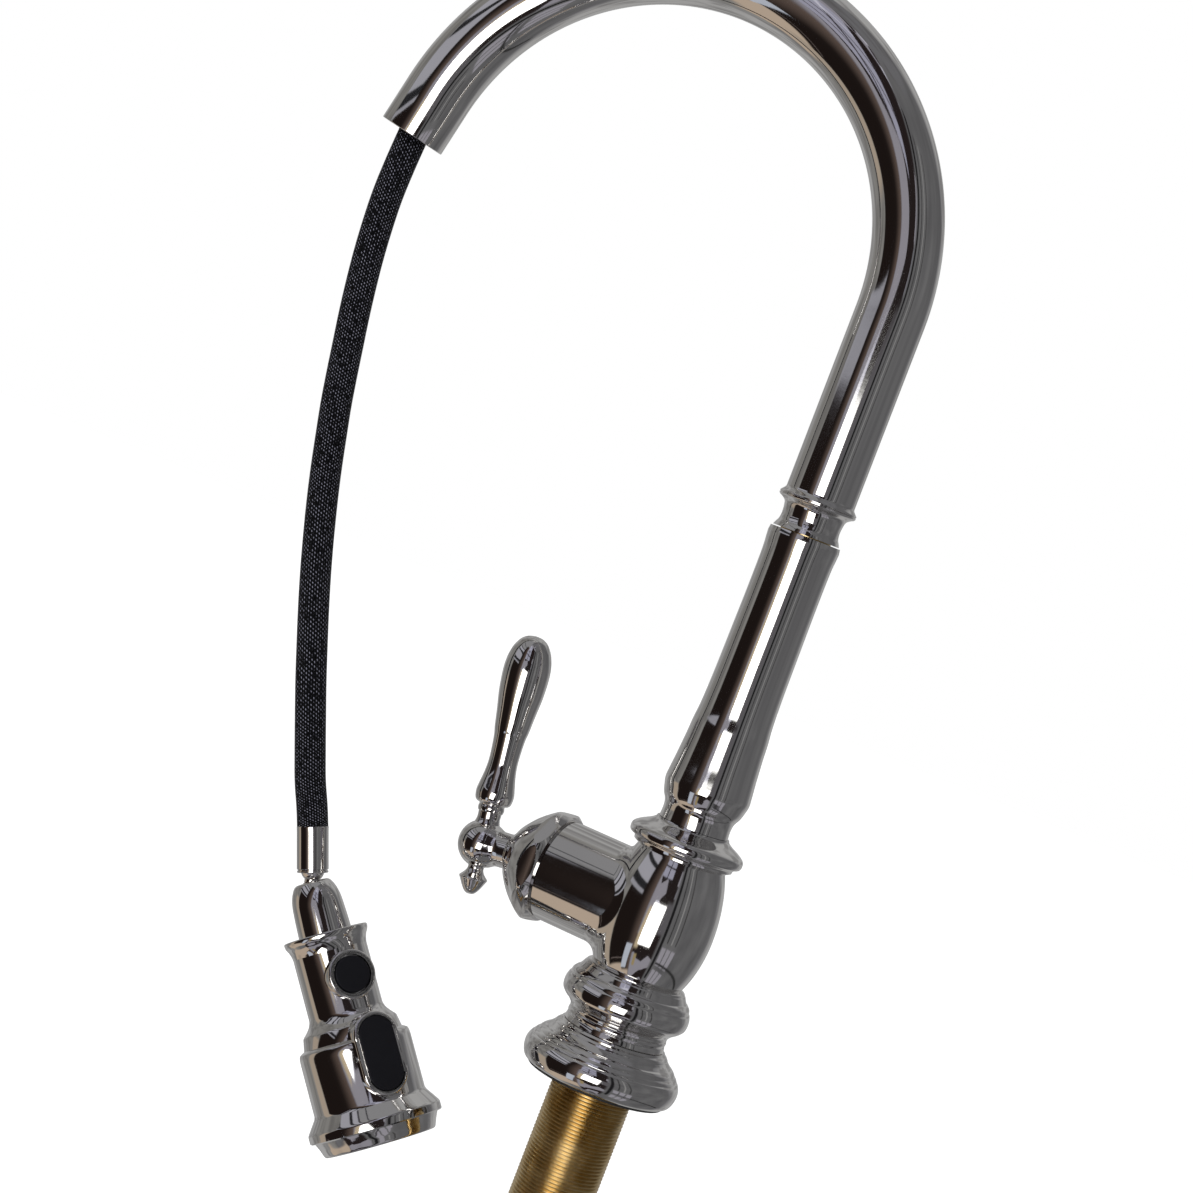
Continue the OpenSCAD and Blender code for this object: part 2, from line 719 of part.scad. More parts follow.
module docking_collar() {
    color(steel) in_head() difference() {
        turned(smooth([[rim_r - 0.5, plug_len], [rim_r, plug_len + 0.4], [rim_r, plug_len + 1.6],
            [rim_r - 0.3, plug_len + 2.6], [grip_r + 0.8, plug_len + 4.2],
            [grip_r + 0.2, plug_len + 5.8], [grip_r, collar_end]], 2));
        rod(plug_r, plug_len - 1, plug_len + 2);
        rod(spigot_r, plug_len + 1, collar_end + 1);
    }
}

module head_outline() {
    turned(concat([[grip_r, collar_end], [grip_r, cone_s - 6]],
        smooth([[grip_r + 0.2, cone_s - 5], [grip_r + 0.9, cone_s - 3.4], [grip_r + 2.1, cone_s - 1.8],
            [bell_r - 3.9, cone_s]], 2),
        [[bell_r - 3.5, cone_s + 0.6], [bell_r - 2.6, band_s - 0.6]],
        smooth([[bell_r - 1.4, band_s], [bell_r - 0.5, band_s + 0.7], [bell_r - 0.1, band_s + 2.2],
            [bell_r, band_s + 4], [bell_r, flare_s - 1.5], [bell_r + 0.4, flare_s - 0.3],
            [bell_r + 1.6, flare_s + 1.4], [bell_r + 3, flare_s + 3.4],
            [flare_r - 0.2, rim_s - 0.8], [flare_r, rim_s]], 2),
        [[flare_r, skirt_s - 0.5], [flare_r - 0.5, skirt_s]]));
}
module head_shell() {
    color(steel) in_head() difference() {
        union() {
            difference() {
                head_outline();
                rod(spigot_r, collar_end - 1, spigot_end);
                rod(grip_in, spigot_end - e, cone_s - 3);
                rod(grip_in + 2.5, cone_s - 3 - e, band_s);
                rod(bell_in, band_s - e, skirt_s - 5.5);
                rod(ring_r, skirt_s - 6, skirt_s + 1);
            }
            on_head_side(button_s) ring(boss_r, button_r, grip_in, boss_top);
            on_head_side(pad_s) oval(pad_boss_w, pad_boss_len, grip_in + 0.7, pad_boss_top);
        }
        on_head_side(button_s) rod(button_r + sweep_gap, button_floor, 30);
        on_head_side(pad_s) oval(pad_w + 2 * sweep_gap, pad_len + 2 * sweep_gap, pad_floor, 40);
        on_head_side(pad_s) pad_pin_at() rod(pad_pin_r, -pad_pin_half - 0.1, pad_pin_half + 0.1);
    }
}

module waterway_core() {
    color(nylon) in_head() difference() {
        union() {
            rod(core_r, nut_s + 5, skirt_s - 5.6);
            rod(bell_in, skirt_s - 8, skirt_s - 5.6);
        }
        rod(core_bore, nut_s + 4, skirt_s);
    }
}

module button_block() {
    color(nylon) in_head() difference() {
        rod(grip_in, spigot_end + 0.5, cone_s - 4);
        rod(core_r, spigot_end, cone_s);
        on_head_side(button_s) rod(button_r + sweep_gap, button_floor, 30);
        on_head_side(button_s) rod(push_r + run_gap, core_r + 0.3, 30);
    }
}

module bottom_ring() {
    color(steel) in_head() difference() {
        turned([[ring_r, skirt_s - 5.5], [ring_r, skirt_s + e], [ring_r + 1.6, skirt_s],
            [ring_r + 1.2, skirt_s + 0.8], [ring_r + 0.2, skirt_s + 3], [ring_r - 0.4, skirt_s + 4.6],
            [ring_r - 1, head_len - 0.4], [ring_r - 1.6, head_len]]);
        rod(face_r, skirt_s - 6, head_len + 1);
    }
}

module spray_face() {
    color(black) in_head() difference() {
        rod(face_r, head_len - 7, head_len - 1.2);
        rod(9.5, head_len - 8, head_len);
        for (a = [0:30:330]) rotate([0, 0, a]) translate([13, 0, 0]) rod(0.9, head_len - 8, head_len);
        for (a = [0:20:340]) rotate([0, 0, a]) translate([17.6, 0, 0]) rod(0.9, head_len - 8, head_len);
    }
}

module spray_nozzles() {
    color(rubber) in_head() {
        for (a = [0:30:330]) rotate([0, 0, a]) translate([13, 0, 0]) rod(0.9, head_len - 7, head_len);
        for (a = [0:20:340]) rotate([0, 0, a]) translate([17.6, 0, 0]) rod(0.9, head_len - 7, head_len);
    }
}

module aerator() {
    color(steel) in_head() difference() {
        ring(9.5, 7.8, head_len - 9, head_len - 0.8);
        rod(7.8, head_len - 10, head_len);
    }
    color(nylon) in_head() difference() {
        rod(7.8, head_len - 7, head_len - 3);
        for (x = [-4:4:4]) for (y = [-4:4:4]) translate([x, y, 0]) rod(0.9, head_len - 8, head_len);
    }
}

module pause_button() {
    color(black) in_head() on_head_side(button_s) {
        turned([[button_r, button_top - button_t], [button_r, button_top - 0.6],
            [button_r - 0.6, button_top]]);
        rod(push_r, core_r + 2, button_top - button_t + 1);
    }
}

module toggle_pad() {
    z0 = pad_top - pad_t;
    color(black) in_head() on_head_side(pad_s) difference() {
        union() {
            oval(pad_w, pad_len, z0, pad_top - 0.5);
            oval(pad_w - 1, pad_len - 1, pad_top - 0.5 - e, pad_top);
            translate([-2.4, -5, z0 - 1.7]) cube([4.8, 10, 2]);
        }
        pad_pin_at() rod(pad_pin_r + run_gap, -15, 15);
    }
}

module toggle_pin() {
    color(steel) in_head() on_head_side(pad_s) pad_pin_at() rod(pad_pin_r, -pad_pin_half, pad_pin_half);
}

threaded_shank();
base_gasket();
base_flange();
body_casting();
column();
swivel_rings();
outlet_tube();
hose_connector();
hose_loop();
hose_inner_body();
cartridge_body();
cartridge_seals();
cartridge_retainer();
valve_bonnet();
cartridge_spindle();
tilt_ball();
lever_stem();
lever_pin();
lever_ball();
lever_handle();
lever_finial();
spout_collar();
swivel_sleeve();
swivel_seal();
sleeve_clip();
spout_tube();
spout_mouth();
hose_guide();
hose_inner_spout();
hose_free();
hose_ferrule();
swivel_stem();
swivel_nut();
head_plug();
docking_collar();
head_shell();
waterway_core();
button_block();
bottom_ring();
spray_face();
spray_nozzles();
aerator();
pause_button();
toggle_pad();
toggle_pin();
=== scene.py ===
# %% [markdown]
# # A pull-down kitchen faucet
# The faucet is a set of turned, plated brass pieces on one axis: a base, a body with a side valve,
# a column and a gooseneck spout. A spray head hangs from it on a braided hose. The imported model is
# loaded first as a fixed frame, and every piece made here is placed by the same sizes, so nothing
# is fitted by eye.

# %% The frame
import json
from math import cos, hypot, pi, radians, sin, sqrt
import bmesh
import bpy
from mathutils import Matrix, Vector


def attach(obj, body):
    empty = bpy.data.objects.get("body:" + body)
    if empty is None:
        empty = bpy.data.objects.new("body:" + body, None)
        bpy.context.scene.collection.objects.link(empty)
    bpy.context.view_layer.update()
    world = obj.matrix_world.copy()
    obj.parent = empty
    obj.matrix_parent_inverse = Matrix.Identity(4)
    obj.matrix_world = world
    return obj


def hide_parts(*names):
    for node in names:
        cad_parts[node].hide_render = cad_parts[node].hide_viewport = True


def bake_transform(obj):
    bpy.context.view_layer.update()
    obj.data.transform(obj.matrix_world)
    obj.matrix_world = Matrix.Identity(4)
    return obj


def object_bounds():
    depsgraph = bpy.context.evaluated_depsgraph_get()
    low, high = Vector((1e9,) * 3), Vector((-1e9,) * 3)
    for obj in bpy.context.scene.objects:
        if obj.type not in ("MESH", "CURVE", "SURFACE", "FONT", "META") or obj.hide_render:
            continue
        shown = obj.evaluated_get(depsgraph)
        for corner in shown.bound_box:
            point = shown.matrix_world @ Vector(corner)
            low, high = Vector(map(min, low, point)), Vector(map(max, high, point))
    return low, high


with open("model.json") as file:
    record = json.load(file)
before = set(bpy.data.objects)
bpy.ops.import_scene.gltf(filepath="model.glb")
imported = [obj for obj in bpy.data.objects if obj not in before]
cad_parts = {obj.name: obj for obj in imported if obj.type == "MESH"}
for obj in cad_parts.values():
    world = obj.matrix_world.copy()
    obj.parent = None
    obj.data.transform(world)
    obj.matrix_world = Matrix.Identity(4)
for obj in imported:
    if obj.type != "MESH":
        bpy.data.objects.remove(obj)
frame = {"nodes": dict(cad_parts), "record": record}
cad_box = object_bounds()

scene = bpy.context.scene

# %% [markdown]
# ## Camera
# The camera stands at the viewing angle that was worked out for the object, as a place and three
# directions. A long lens keeps the tall faucet free of distortion. Writing the matrix straight from
# the three directions is exact, where a look-at rotation would lose the slight roll.

# %% Camera
SENSOR_MM = 36
FOCAL_LENGTH, PICTURE_WIDTH = 2799.3, 1193
CAMERA_PLACE = (0.3873, -1.0315, 0.2252)
CAMERA_RIGHT, CAMERA_BACK = (0.8464, 0.3951, 0.3570), (0.4085, -0.9118, 0.0408)


def add_camera():
    data = bpy.data.cameras.new("camera")
    data.sensor_width = SENSOR_MM
    data.lens = SENSOR_MM * FOCAL_LENGTH / PICTURE_WIDTH
    data.clip_end = 50
    camera = bpy.data.objects.new("camera", data)
    scene.collection.objects.link(camera)
    right, back = Vector(CAMERA_RIGHT).normalized(), Vector(CAMERA_BACK).normalized()
    up = back.cross(right).normalized()
    back = right.cross(up)
    facing = Matrix((right, up, back)).transposed().to_4x4()
    camera.matrix_world = Matrix.Translation(CAMERA_PLACE) @ facing
    scene.camera = camera
    return camera


camera = add_camera()
print("lens", round(camera.data.lens, 2), "mm")

# %% [markdown]
# ## Places
# All sizes below are millimetres, as on a drawing, and one matrix per place turns them into metres
# in the shared frame. A piece is drawn upright on its own axis and its place is written into its
# mesh, so every object sits at the origin.

# %% Places
MM = Matrix.Scale(0.001, 4)


def shift(x, y, z):
    return Matrix.Translation((x, y, z))


def turn(degrees, axis):
    return Matrix.Rotation(radians(degrees), 4, axis)


VALVE_Z, PIVOT_X, LEVER_TILT, BALL_OUT = 71.1, -60, 7, 23.2
SPOUT_TURN, FERRULE_LEAN, HEAD_LEAN, BUTTON_TURN = 9.24, 22, 37.8, 47
BALL_ASIDE, BALL_ABOVE = 1.8, 4.8
HOSE_END_OUT, HOSE_END_UP = 141.3, 33.1
UPRIGHT = Matrix.Identity(4)
VALVE = shift(0, 0, VALVE_Z) @ turn(-90, "Y")
LEVER = shift(PIVOT_X, 0, VALVE_Z) @ turn(-LEVER_TILT, "Y")
BALL = LEVER @ shift(-BALL_OUT, 0, 0)
SPOUT = turn(SPOUT_TURN, "Z")
HOSE_END = SPOUT @ shift(-HOSE_END_OUT, 0, HOSE_END_UP)
FERRULE = HOSE_END @ turn(-FERRULE_LEAN, "Y")
HEAD = HOSE_END @ turn(-HEAD_LEAN, "Y") @ shift(-BALL_ASIDE, 0, -BALL_ABOVE) @ turn(180, "X")


def head_side(s):
    """The place of a button, s along the head, with Z pointing out of the head."""
    return HEAD @ turn(BUTTON_TURN, "Z") @ shift(0, 0, s) @ turn(90, "Y")


print("head leans", HEAD_LEAN, "degrees and the buttons face", BUTTON_TURN, "degrees round it")


# %% [markdown]
# ## Materials
# A shader is a sum of small formulas: a wrapper class lets them be written as Python expressions.
# Each operator adds one Math node, and one method adds any other node from its type, settings and
# inputs.

# %% Shader maths
class Wire:
    """One socket of a node tree, with the operators of arithmetic."""

    def __init__(self, tree, socket):
        self.tree, self.socket = tree, socket

    def maths(self, operation, *others):
        return self.tree.node("ShaderNodeMath", {"operation": operation}, *others).out(0)

    def __add__(self, other):
        return self.maths("ADD", self, other)

    def __sub__(self, other):
        return self.maths("SUBTRACT", self, other)

    def __mul__(self, other):
        return self.maths("MULTIPLY", self, other)

    def __rsub__(self, other):
        return self.maths("SUBTRACT", other, self)

    def sine(self):
        return self.maths("SINE", self)

    def above(self, edge, soft):
        """0 below edge, 1 above it, with a soft step between."""
        settings = {"interpolation_type": "SMOOTHSTEP"}
        ramp = self.tree.node("ShaderNodeMapRange", settings)
        ramp.set("Value", self).set("From Min", edge - soft).set("From Max", edge + soft)
        return ramp.out(0)


class Step:
    """One node, whose inputs are set by name."""

    def __init__(self, tree, node):
        self.tree, self.node = tree, node

    def set(self, name, value):
        socket = self.node.inputs[name]
        if isinstance(value, Wire):
            self.tree.links.new(value.socket, socket)
        else:
            socket.default_value = value
        return self

    def out(self, name):
        return Wire(self.tree, self.node.outputs[name])


class Graph:
    """An emptied node tree."""

    def __init__(self, owner):
        owner.use_nodes = True
        self.tree, self.links = owner.node_tree, owner.node_tree.links
        self.tree.nodes.clear()

    def node(self, kind, settings=None, *values, **named):
        node = self.tree.nodes.new(kind)
        for key, value in (settings or {}).items():
            setattr(node, key, value)
        step = Step(self, node)
        for i, value in enumerate(values):
            step.set(i, value)
        for key, value in named.items():
            step.set(key.replace("_", " "), value)
        return step


class Recipe(Graph):
    """The node tree of one material."""

    def __init__(self, name):
        self.material = bpy.data.materials.new(name)
        super().__init__(self.material)
        self.surface = self.node("ShaderNodeBsdfPrincipled")
        self.output = self.node("ShaderNodeOutputMaterial").set("Surface", self.surface.out("BSDF"))

    def place(self):
        return self.node("ShaderNodeTexCoord").out("Object")

    def noise(self, scale, detail=2, where=None):
        texture = self.node("ShaderNodeTexNoise", None, Scale=scale, Detail=detail)
        return texture.set("Vector", where or self.place()).out("Fac")

    def mix(self, share, one, other):
        blend = self.node("ShaderNodeMix", {"data_type": "RGBA"})
        blend.set("Factor", share)
        for slot, colour in (("A_Color", one), ("B_Color", other)):
            socket = next(s for s in blend.node.inputs if s.identifier == slot)
            if isinstance(colour, Wire):
                self.links.new(colour.socket, socket)
            else:
                socket.default_value = (*colour, 1)
        return Wire(self, next(s for s in blend.node.outputs if s.identifier == "Result_Color"))

    def bump(self, height, depth, strength=1):
        step = self.node("ShaderNodeBump", None, Strength=strength, Distance=depth)
        self.surface.set("Normal", step.set("Height", height).out("Normal"))

    def finish(self, **values):
        for key, value in values.items():
            self.surface.set(key.replace("_", " "), value)
        return self.material


print("shader maths is ready")

# %% [markdown]
# The plate on the brass is polished nickel. It is nearly a mirror, with a warm grey colour, a faint
# haze where it has been handled, and very shallow ripples from the buffing wheel.

# %% Polished plate
def plate(name, colour, haze):
    recipe = Recipe(name)
    clouds = recipe.noise(38, 3)
    grain = recipe.noise(900, 2)
    recipe.bump(recipe.noise(70, 1) + grain * 0.06, 0.00005, 0.5)
    rough = clouds * 0.05 + grain * 0.03 + haze
    tint = recipe.mix(clouds, colour, tuple(c * 0.93 for c in colour))
    return recipe.finish(Base_Color=tint, Metallic=1.0, Roughness=rough)


nickel = plate("polished_nickel", (0.80, 0.785, 0.77), 0.02)
steel = plate("turned_steel", (0.62, 0.62, 0.61), 0.16)
print("plates:", nickel.name, "and", steel.name)

# %% [markdown]
# Bare brass has dulled since it was cut: brown oxide in the hollows and brighter metal where it
# rubs.

# %% Brass
def brass_finish():
    recipe = Recipe("machined_brass")
    stain = recipe.noise(60, 5)
    grain = recipe.noise(1500, 2)
    colour = recipe.mix(stain.above(0.52, 0.14), (0.62, 0.44, 0.19), (0.83, 0.67, 0.40))
    recipe.bump(grain, 0.00004, 0.6)
    return recipe.finish(Base_Color=colour, Metallic=1.0, Roughness=stain * 0.2 + 0.2)


brass = brass_finish()
print("bare metal:", brass.name)

# %% [markdown]
# The buttons, the gasket and the nozzles are black. Moulded plastic and rubber differ from each
# other in their sheen and in the grain that the mould leaves.

# %% Black plastic, rubber and white nylon
def moulded(name, colour, rough, grain_size, depth, shine=0.5):
    recipe = Recipe(name)
    grain = recipe.noise(grain_size, 3)
    patch = recipe.noise(55, 2)
    recipe.bump(grain, depth, 0.7)
    tone = recipe.mix(patch, colour, tuple(c * 1.25 for c in colour))
    recipe.surface.set("Specular IOR Level", shine)
    return recipe.finish(Base_Color=tone, Roughness=grain * 0.1 + rough)


black_plastic = moulded("black_plastic", (0.005, 0.005, 0.007), 0.45, 1400, 0.00003, 0.2)
black_rubber = moulded("black_rubber", (0.014, 0.014, 0.014), 0.6, 700, 0.00006)
white_nylon = moulded("white_nylon", (0.72, 0.72, 0.69), 0.42, 500, 0.00003)
print("moulded:", black_plastic.name, black_rubber.name, white_nylon.name)

# %% [markdown]
# The hose has a nylon braid over it. Its strands cross at an angle, each one over and then under,
# and light dots painted on the strand crests stand in for the glints on the strands. The pattern
# follows the hose through its own UV map: Y runs round it and X along it.

# %% Hose braid
def braid(name, around, along):
    recipe = Recipe(name)
    split = recipe.node("ShaderNodeSeparateXYZ", None, recipe.node("ShaderNodeTexCoord").out("UV"))
    u = split.out("Y") * around
    v = split.out("X") * along + split.out("Y") * (around // 2)
    left, right = (u + v) * (2 * pi), (u - v) * (2 * pi)
    strand = left.sine() * right.sine()
    # Painted glints: light dots on the strand crests, a little smoother there, stand in for the
    # shine of the braid.
    painted_glint = strand.above(0.6, 0.2) * recipe.noise(800, 2).above(0.46, 0.08)
    colour = recipe.mix(painted_glint, (0.0024, 0.0024, 0.0034), (0.20, 0.20, 0.25))
    recipe.bump(strand, 0.0003, 0.9)
    recipe.surface.set("Specular IOR Level", 0.12)
    return recipe.finish(Base_Color=colour, Roughness=painted_glint * -0.1 + 0.5)


# %% [markdown]
# ## Turned pieces
# Nearly everything else came off a lathe, so one helper turns an outline about an axis. The outline
# is a row of runs, each one smooth within itself; where two runs meet there is a crisp edge.
# Spinning an edge chain in bmesh gives evenly spaced rings, which a mirror-bright finish needs.

# %% A smooth line through points
def between(a, b, c, d, t):
    return 0.5 * (2 * b + (c - a) * t + (2 * a - 5 * b + 4 * c - d) * t * t
                  + (3 * b - a - 3 * c + d) * t ** 3)


def flow(points, steps):
    """The points with a smooth curve through them, steps to each gap."""
    p = [Vector(x) for x in points]
    p = [p[0]] + p + [p[-1]]
    line = [between(*p[i:i + 4], k / steps) for i in range(len(p) - 3) for k in range(steps)]
    return line + [p[-1]]


# %% The lathe
def finish_mesh(name, shape, place, material, sharp=32):
    """Writes the place into the mesh, turns its faces out and shades it smooth between edges."""
    bmesh.ops.remove_doubles(shape, verts=shape.verts, dist=0.0005)
    bmesh.ops.recalc_face_normals(shape, faces=shape.faces)
    bmesh.ops.transform(shape, matrix=MM @ place, verts=shape.verts)
    mesh = bpy.data.meshes.new(name)
    shape.to_mesh(mesh)
    shape.free()
    mesh.shade_smooth()
    mesh.set_sharp_from_angle(angle=radians(sharp))
    mesh.materials.append(material)
    piece = bpy.data.objects.new(name, mesh)
    scene.collection.objects.link(piece)
    return piece


def spin_outline(shape, runs, steps=96, fine=4, closed=False):
    """Spins the outline, given as runs of (radius, height), once about Z."""
    line = []
    for run in runs:
        points = [Vector((r, 0, z)) for r, z in run]
        smooth = flow(points, fine) if len(run) > 2 else points
        line += [p for p in smooth if not line or (p - line[-1]).length > 1e-4]
    verts = [shape.verts.new(p) for p in line]
    edges = [shape.edges.new(pair) for pair in zip(verts, verts[1:])]
    if closed:
        edges.append(shape.edges.new((verts[-1], verts[0])))
    bmesh.ops.spin(shape, geom=verts + edges, cent=(0, 0, 0), axis=(0, 0, 1), angle=2 * pi,
                   steps=steps, use_merge=True)


def settle(piece, body, slot, *nodes):
    """Says what the piece stands for and what carries it; slot is not used."""
    for node in nodes:
        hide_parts(node)
    print(piece.name, len(piece.data.polygons), "faces")
    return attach(piece, body)


def turned(name, body, nodes, place, material, runs, slot, steps=96, closed=False):
    shape = bmesh.new()
    spin_outline(shape, runs, steps, closed=closed)
    return settle(finish_mesh(name, shape, place, material), body, slot, *nodes)


# %% [markdown]
# ## Hose
# The hose is one and a half metres long. About 0.3 m of it is out of the spout, and it comes back
# to the valve through a loop below the deck. Its route is the same row of points as in the model,
# with a smooth curve through them, and a curve with a round bevel keeps an even section all the
# way. When the head goes home the hose has to vanish into the spout, so its blend starts well above
# the spout's mouth.

# %% Hose pieces
HOSE_R = 6.4
AROUND, FREE_TURNS, LOOP_TURNS, INNER_TURNS = 18, 95, 164, 160
free_route = [(213.38, 327.86), (214.2, 314.9), (214.6, 301.6), (214.1, 288.7), (213.1, 275.9),
              (211.6, 263.2), (209.8, 250.7), (207.7, 238.3), (205.6, 225.9), (203.3, 213.5),
              (200.6, 201.3), (197.8, 189.1), (194.7, 176.9), (190.8, 163), (186.4, 148.5),
              (181.6, 134), (176.4, 119.3), (171, 104.5), (165.3, 89.8), (160.8, 78.4), (156, 66.6),
              (151.3, 57), (147.67, 48.87)]
loop_route = [(5, -80), (5, -84), (5.6, -95), (12, -128), (32, -172), (50, -212), (55.6, -250),
              (46, -283), (24, -303), (-2.4, -309), (-29, -302), (-51, -282), (-60.4, -250),
              (-55, -212), (-38, -172), (-18, -138), (-9.4, -112)]


def lay_hose(name, line, turns):
    """A round tube along a line in metres, and its length."""
    curve = bpy.data.curves.new(name, "CURVE")
    curve.dimensions = "3D"
    curve.bevel_depth = HOSE_R / 1000
    curve.bevel_resolution = 6
    curve.use_fill_caps = True
    spline = curve.splines.new("POLY")
    spline.points.add(len(line) - 1)
    for point, place in zip(spline.points, line):
        point.co = (*place, 1)
    drawn = bpy.data.objects.new(name + "_line", curve)
    scene.collection.objects.link(drawn)
    drawn_now = drawn.evaluated_get(bpy.context.evaluated_depsgraph_get())
    mesh = bpy.data.meshes.new_from_object(drawn_now)
    bpy.data.objects.remove(drawn)
    mesh.shade_smooth()
    mesh.materials.clear()
    mesh.materials.append(braid(name + "_braid", AROUND, turns))
    hose = bpy.data.objects.new(name, mesh)
    scene.collection.objects.link(hose)
    length = sum((b - a).length for a, b in zip(line, line[1:]))
    print(name, round(length * 1000), "mm")
    return hose, length


ferrule = turned("ferrule", "hose_end", ["hose_ferrule"], FERRULE, nickel,
                 [[(4.3, -1.2)], [(6.1, -1.2)], [(6.4, -0.9)], [(6.4, -0.4)], [(6.1, -0.2)],
                  [(6.1, 0.1)], [(6.5, 0.4)], [(6.5, 15.5), (6.52, 16.6), (6.56, 17.5)],
                  [(6.5, 17.7)], [(6.41, 17.7)], [(6.41, 16.7)], [(4.9, 16.6)], [(4.9, 0)]],
                 "polished_metal", closed=True)
free_line = [MM @ SPOUT @ Vector((-p[0], 0, p[1])) for p in flow(free_route, 6)]
free_hose, free_length = lay_hose("hose_free_braid", free_line, FREE_TURNS)
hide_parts("hose_free")
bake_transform(free_hose)

loop_line = [MM @ Vector((p[0], 0, p[1])) for p in flow(loop_route, 6)]
loop_hose, loop_length = lay_hose("hose_loop_braid", loop_line, LOOP_TURNS)
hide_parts("hose_loop")
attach(loop_hose, "faucet_body")

# %% [markdown]
# ## Shank
# The shank carries the faucet through the deck and has a fine thread for its nut. A thread this
# fine reads as even rings, so the outline goes in and out once for each pitch.

# %% Shank
def thread_rings(r, low, high, pitch=1.5, depth=0.8):
    """Points up the outside of a thread, with a narrow flat on each crest."""
    count, half_flat = int((high - low) / pitch), 0.1
    rings = []
    for i in range(count):
        z = low + i * pitch
        crest = z + 0.5 * pitch
        rings += [(r - depth, z), (r, crest - half_flat), (r, crest + half_flat)]
    return rings + [(r - depth, low + count * pitch)]


shank_line = [(13.5, -75), (15.4, -75), *thread_rings(16.5, -74.4, -0.5),
              (16.5, 5.8), (16.2, 5.9), (16.2, 33), (13.5, 33)]
turned("shank", "faucet_body", ["threaded_shank"], UPRIGHT, brass,
       [[p] for p in shank_line], "brass", steps=72, closed=True)

# %% [markdown]
# ## Base and gasket
# The base is a low bell with a rounded shoulder that sits on a rubber gasket.

# %% Base
turned("gasket", "faucet_body", ["base_gasket"], UPRIGHT, black_rubber,
       [[(25.2, 0)], [(28.2, 0), (28.4, 0.2), (28.4, 0.97)], [(25.2, 0.97)]], "black_rubber",
       closed=True)
turned("flange", "faucet_body", ["base_flange"], UPRIGHT, nickel,
       [[(16.8, 6)], [(25, 6)], [(25, 1)], [(29, 1)], [(29.4, 1.1), (30.6, 2), (31.6, 4),
       (32.1, 6.6), (31.9, 8.8), (31.1, 10.7), (30.5, 11.4)], [(30.2, 11.6)],
       [(30.2, 11.8), (29.7, 12.6), (29, 13.3)], [(28.7, 13.5)], [(28.6, 13.7), (27.9, 14.7),
       (26.8, 15.7)], [(26.3, 15.9)], [(25.9, 16.3), (24.8, 17.3), (24, 18.2)], [(23.8, 18.4)],
       [(23.7, 18.7), (23, 19.6), (22.2, 20.3), (21.6, 21.1)], [(16.8, 21.1)]], "polished_metal",
       steps=160, closed=True)

# %% [markdown]
# ## Body
# The body is one casting: a turned vase with a barrel on its side. Its foot carries a torus between
# fine beads, its belly is a half egg and a bead rings its top. Two half ellipses draw the egg,
# since a mirror finish shows every ripple that a line through picked points would have.

# %% Body
FOOT = [[(20.9, 21.5), (20.7, 22.6), (20.5, 23.4)], [(20.3, 23.6)], [(20.4, 23.9), (20.65, 24.7),
        (20.5, 25.6)], [(20.3, 25.8)], [(20.4, 26), (20.7, 27.4), (22.2, 29.1), (24, 30.4),
        (25.6, 32.2), (26.1, 34.3), (26, 36.5), (25.4, 38.5)], [(25.1, 38.8)],
        [(24.9, 39.1), (24.5, 40.6), (23.3, 42)], [(22.9, 42.2)], [(22.5, 42.6), (21.8, 43.8),
        (21.2, 44.9)], [(20.9, 45.1)], [(20.8, 45.3), (20.4, 46), (19.6, 46.3)]]
BELLY_R, BELLY_Z, BELLY_BELOW, BELLY_ABOVE = 23.3, 69, 37.2, 43.6
BELLY = [(BELLY_R * sqrt(1 - ((z - BELLY_Z) / (BELLY_BELOW if z < BELLY_Z else BELLY_ABOVE)) ** 2),
          z) for z in [46.4] + [0.5 * i for i in range(94, 193)]]
CROWN = [(20.5, 97.2), (21, 98.7), (23, 99.7), (23.5, 101.4), (23, 103.2), (20.8, 104.9),
         (17.6, 106.6), (15.6, 108), (15.1, 109)]
turned("body", "faucet_body", ["body_casting"], UPRIGHT, nickel,
       [[(17, 21.2)], [(20.7, 21.2)], *FOOT, *[[p] for p in BELLY], CROWN, [(12.5, 109)],
       [(12.5, 100)], [(7.5, 100)], [(7.5, 46)], [(15.5, 46)], [(15.5, 33)], [(17, 33)]],
       "polished_metal", steps=192, closed=True)
BARREL_R = 20.9
turned("valve_barrel", "faucet_body", [], VALVE, nickel,
       [[(0, 6)], [(BARREL_R, 6)], [(BARREL_R, 46.9)], [(20.4, 47.4)], [(20, 47.4)], [(20, 55.6)],
        [(0, 55.6)]], "polished_metal", steps=192)

# %% [markdown]
# The casting has a soft fillet between the barrel and the vase. It is what a ball leaves when it
# rolls round the barrel and touches both: at each step the ball's place is found by halving, and a
# row of points goes from one touching point to the other along the ball. The ball is small above
# and below and large at the sides. A second row just inside closes the strip, so it has a
# thickness. The normals point at the ball's centre, so reflections run on unbroken.

# %% Rolling fillet
def nearest(line, point):
    """The point of a flat line nearest to a point."""
    best = None
    for a, b in zip(line, line[1:]):
        along = b - a
        t = min(max((point - a).dot(along) / along.length_squared, 0), 1)
        spot = a + along * t
        if best is None or (spot - point).length < (best - point).length:
            best = spot
    return best


BALL_R, BALL_R_UP, BALL_R_SIDE = 5.5, 1, 8.5
HALVINGS, NEAR_AXIS, FAR_OUT = 26, 4, 60


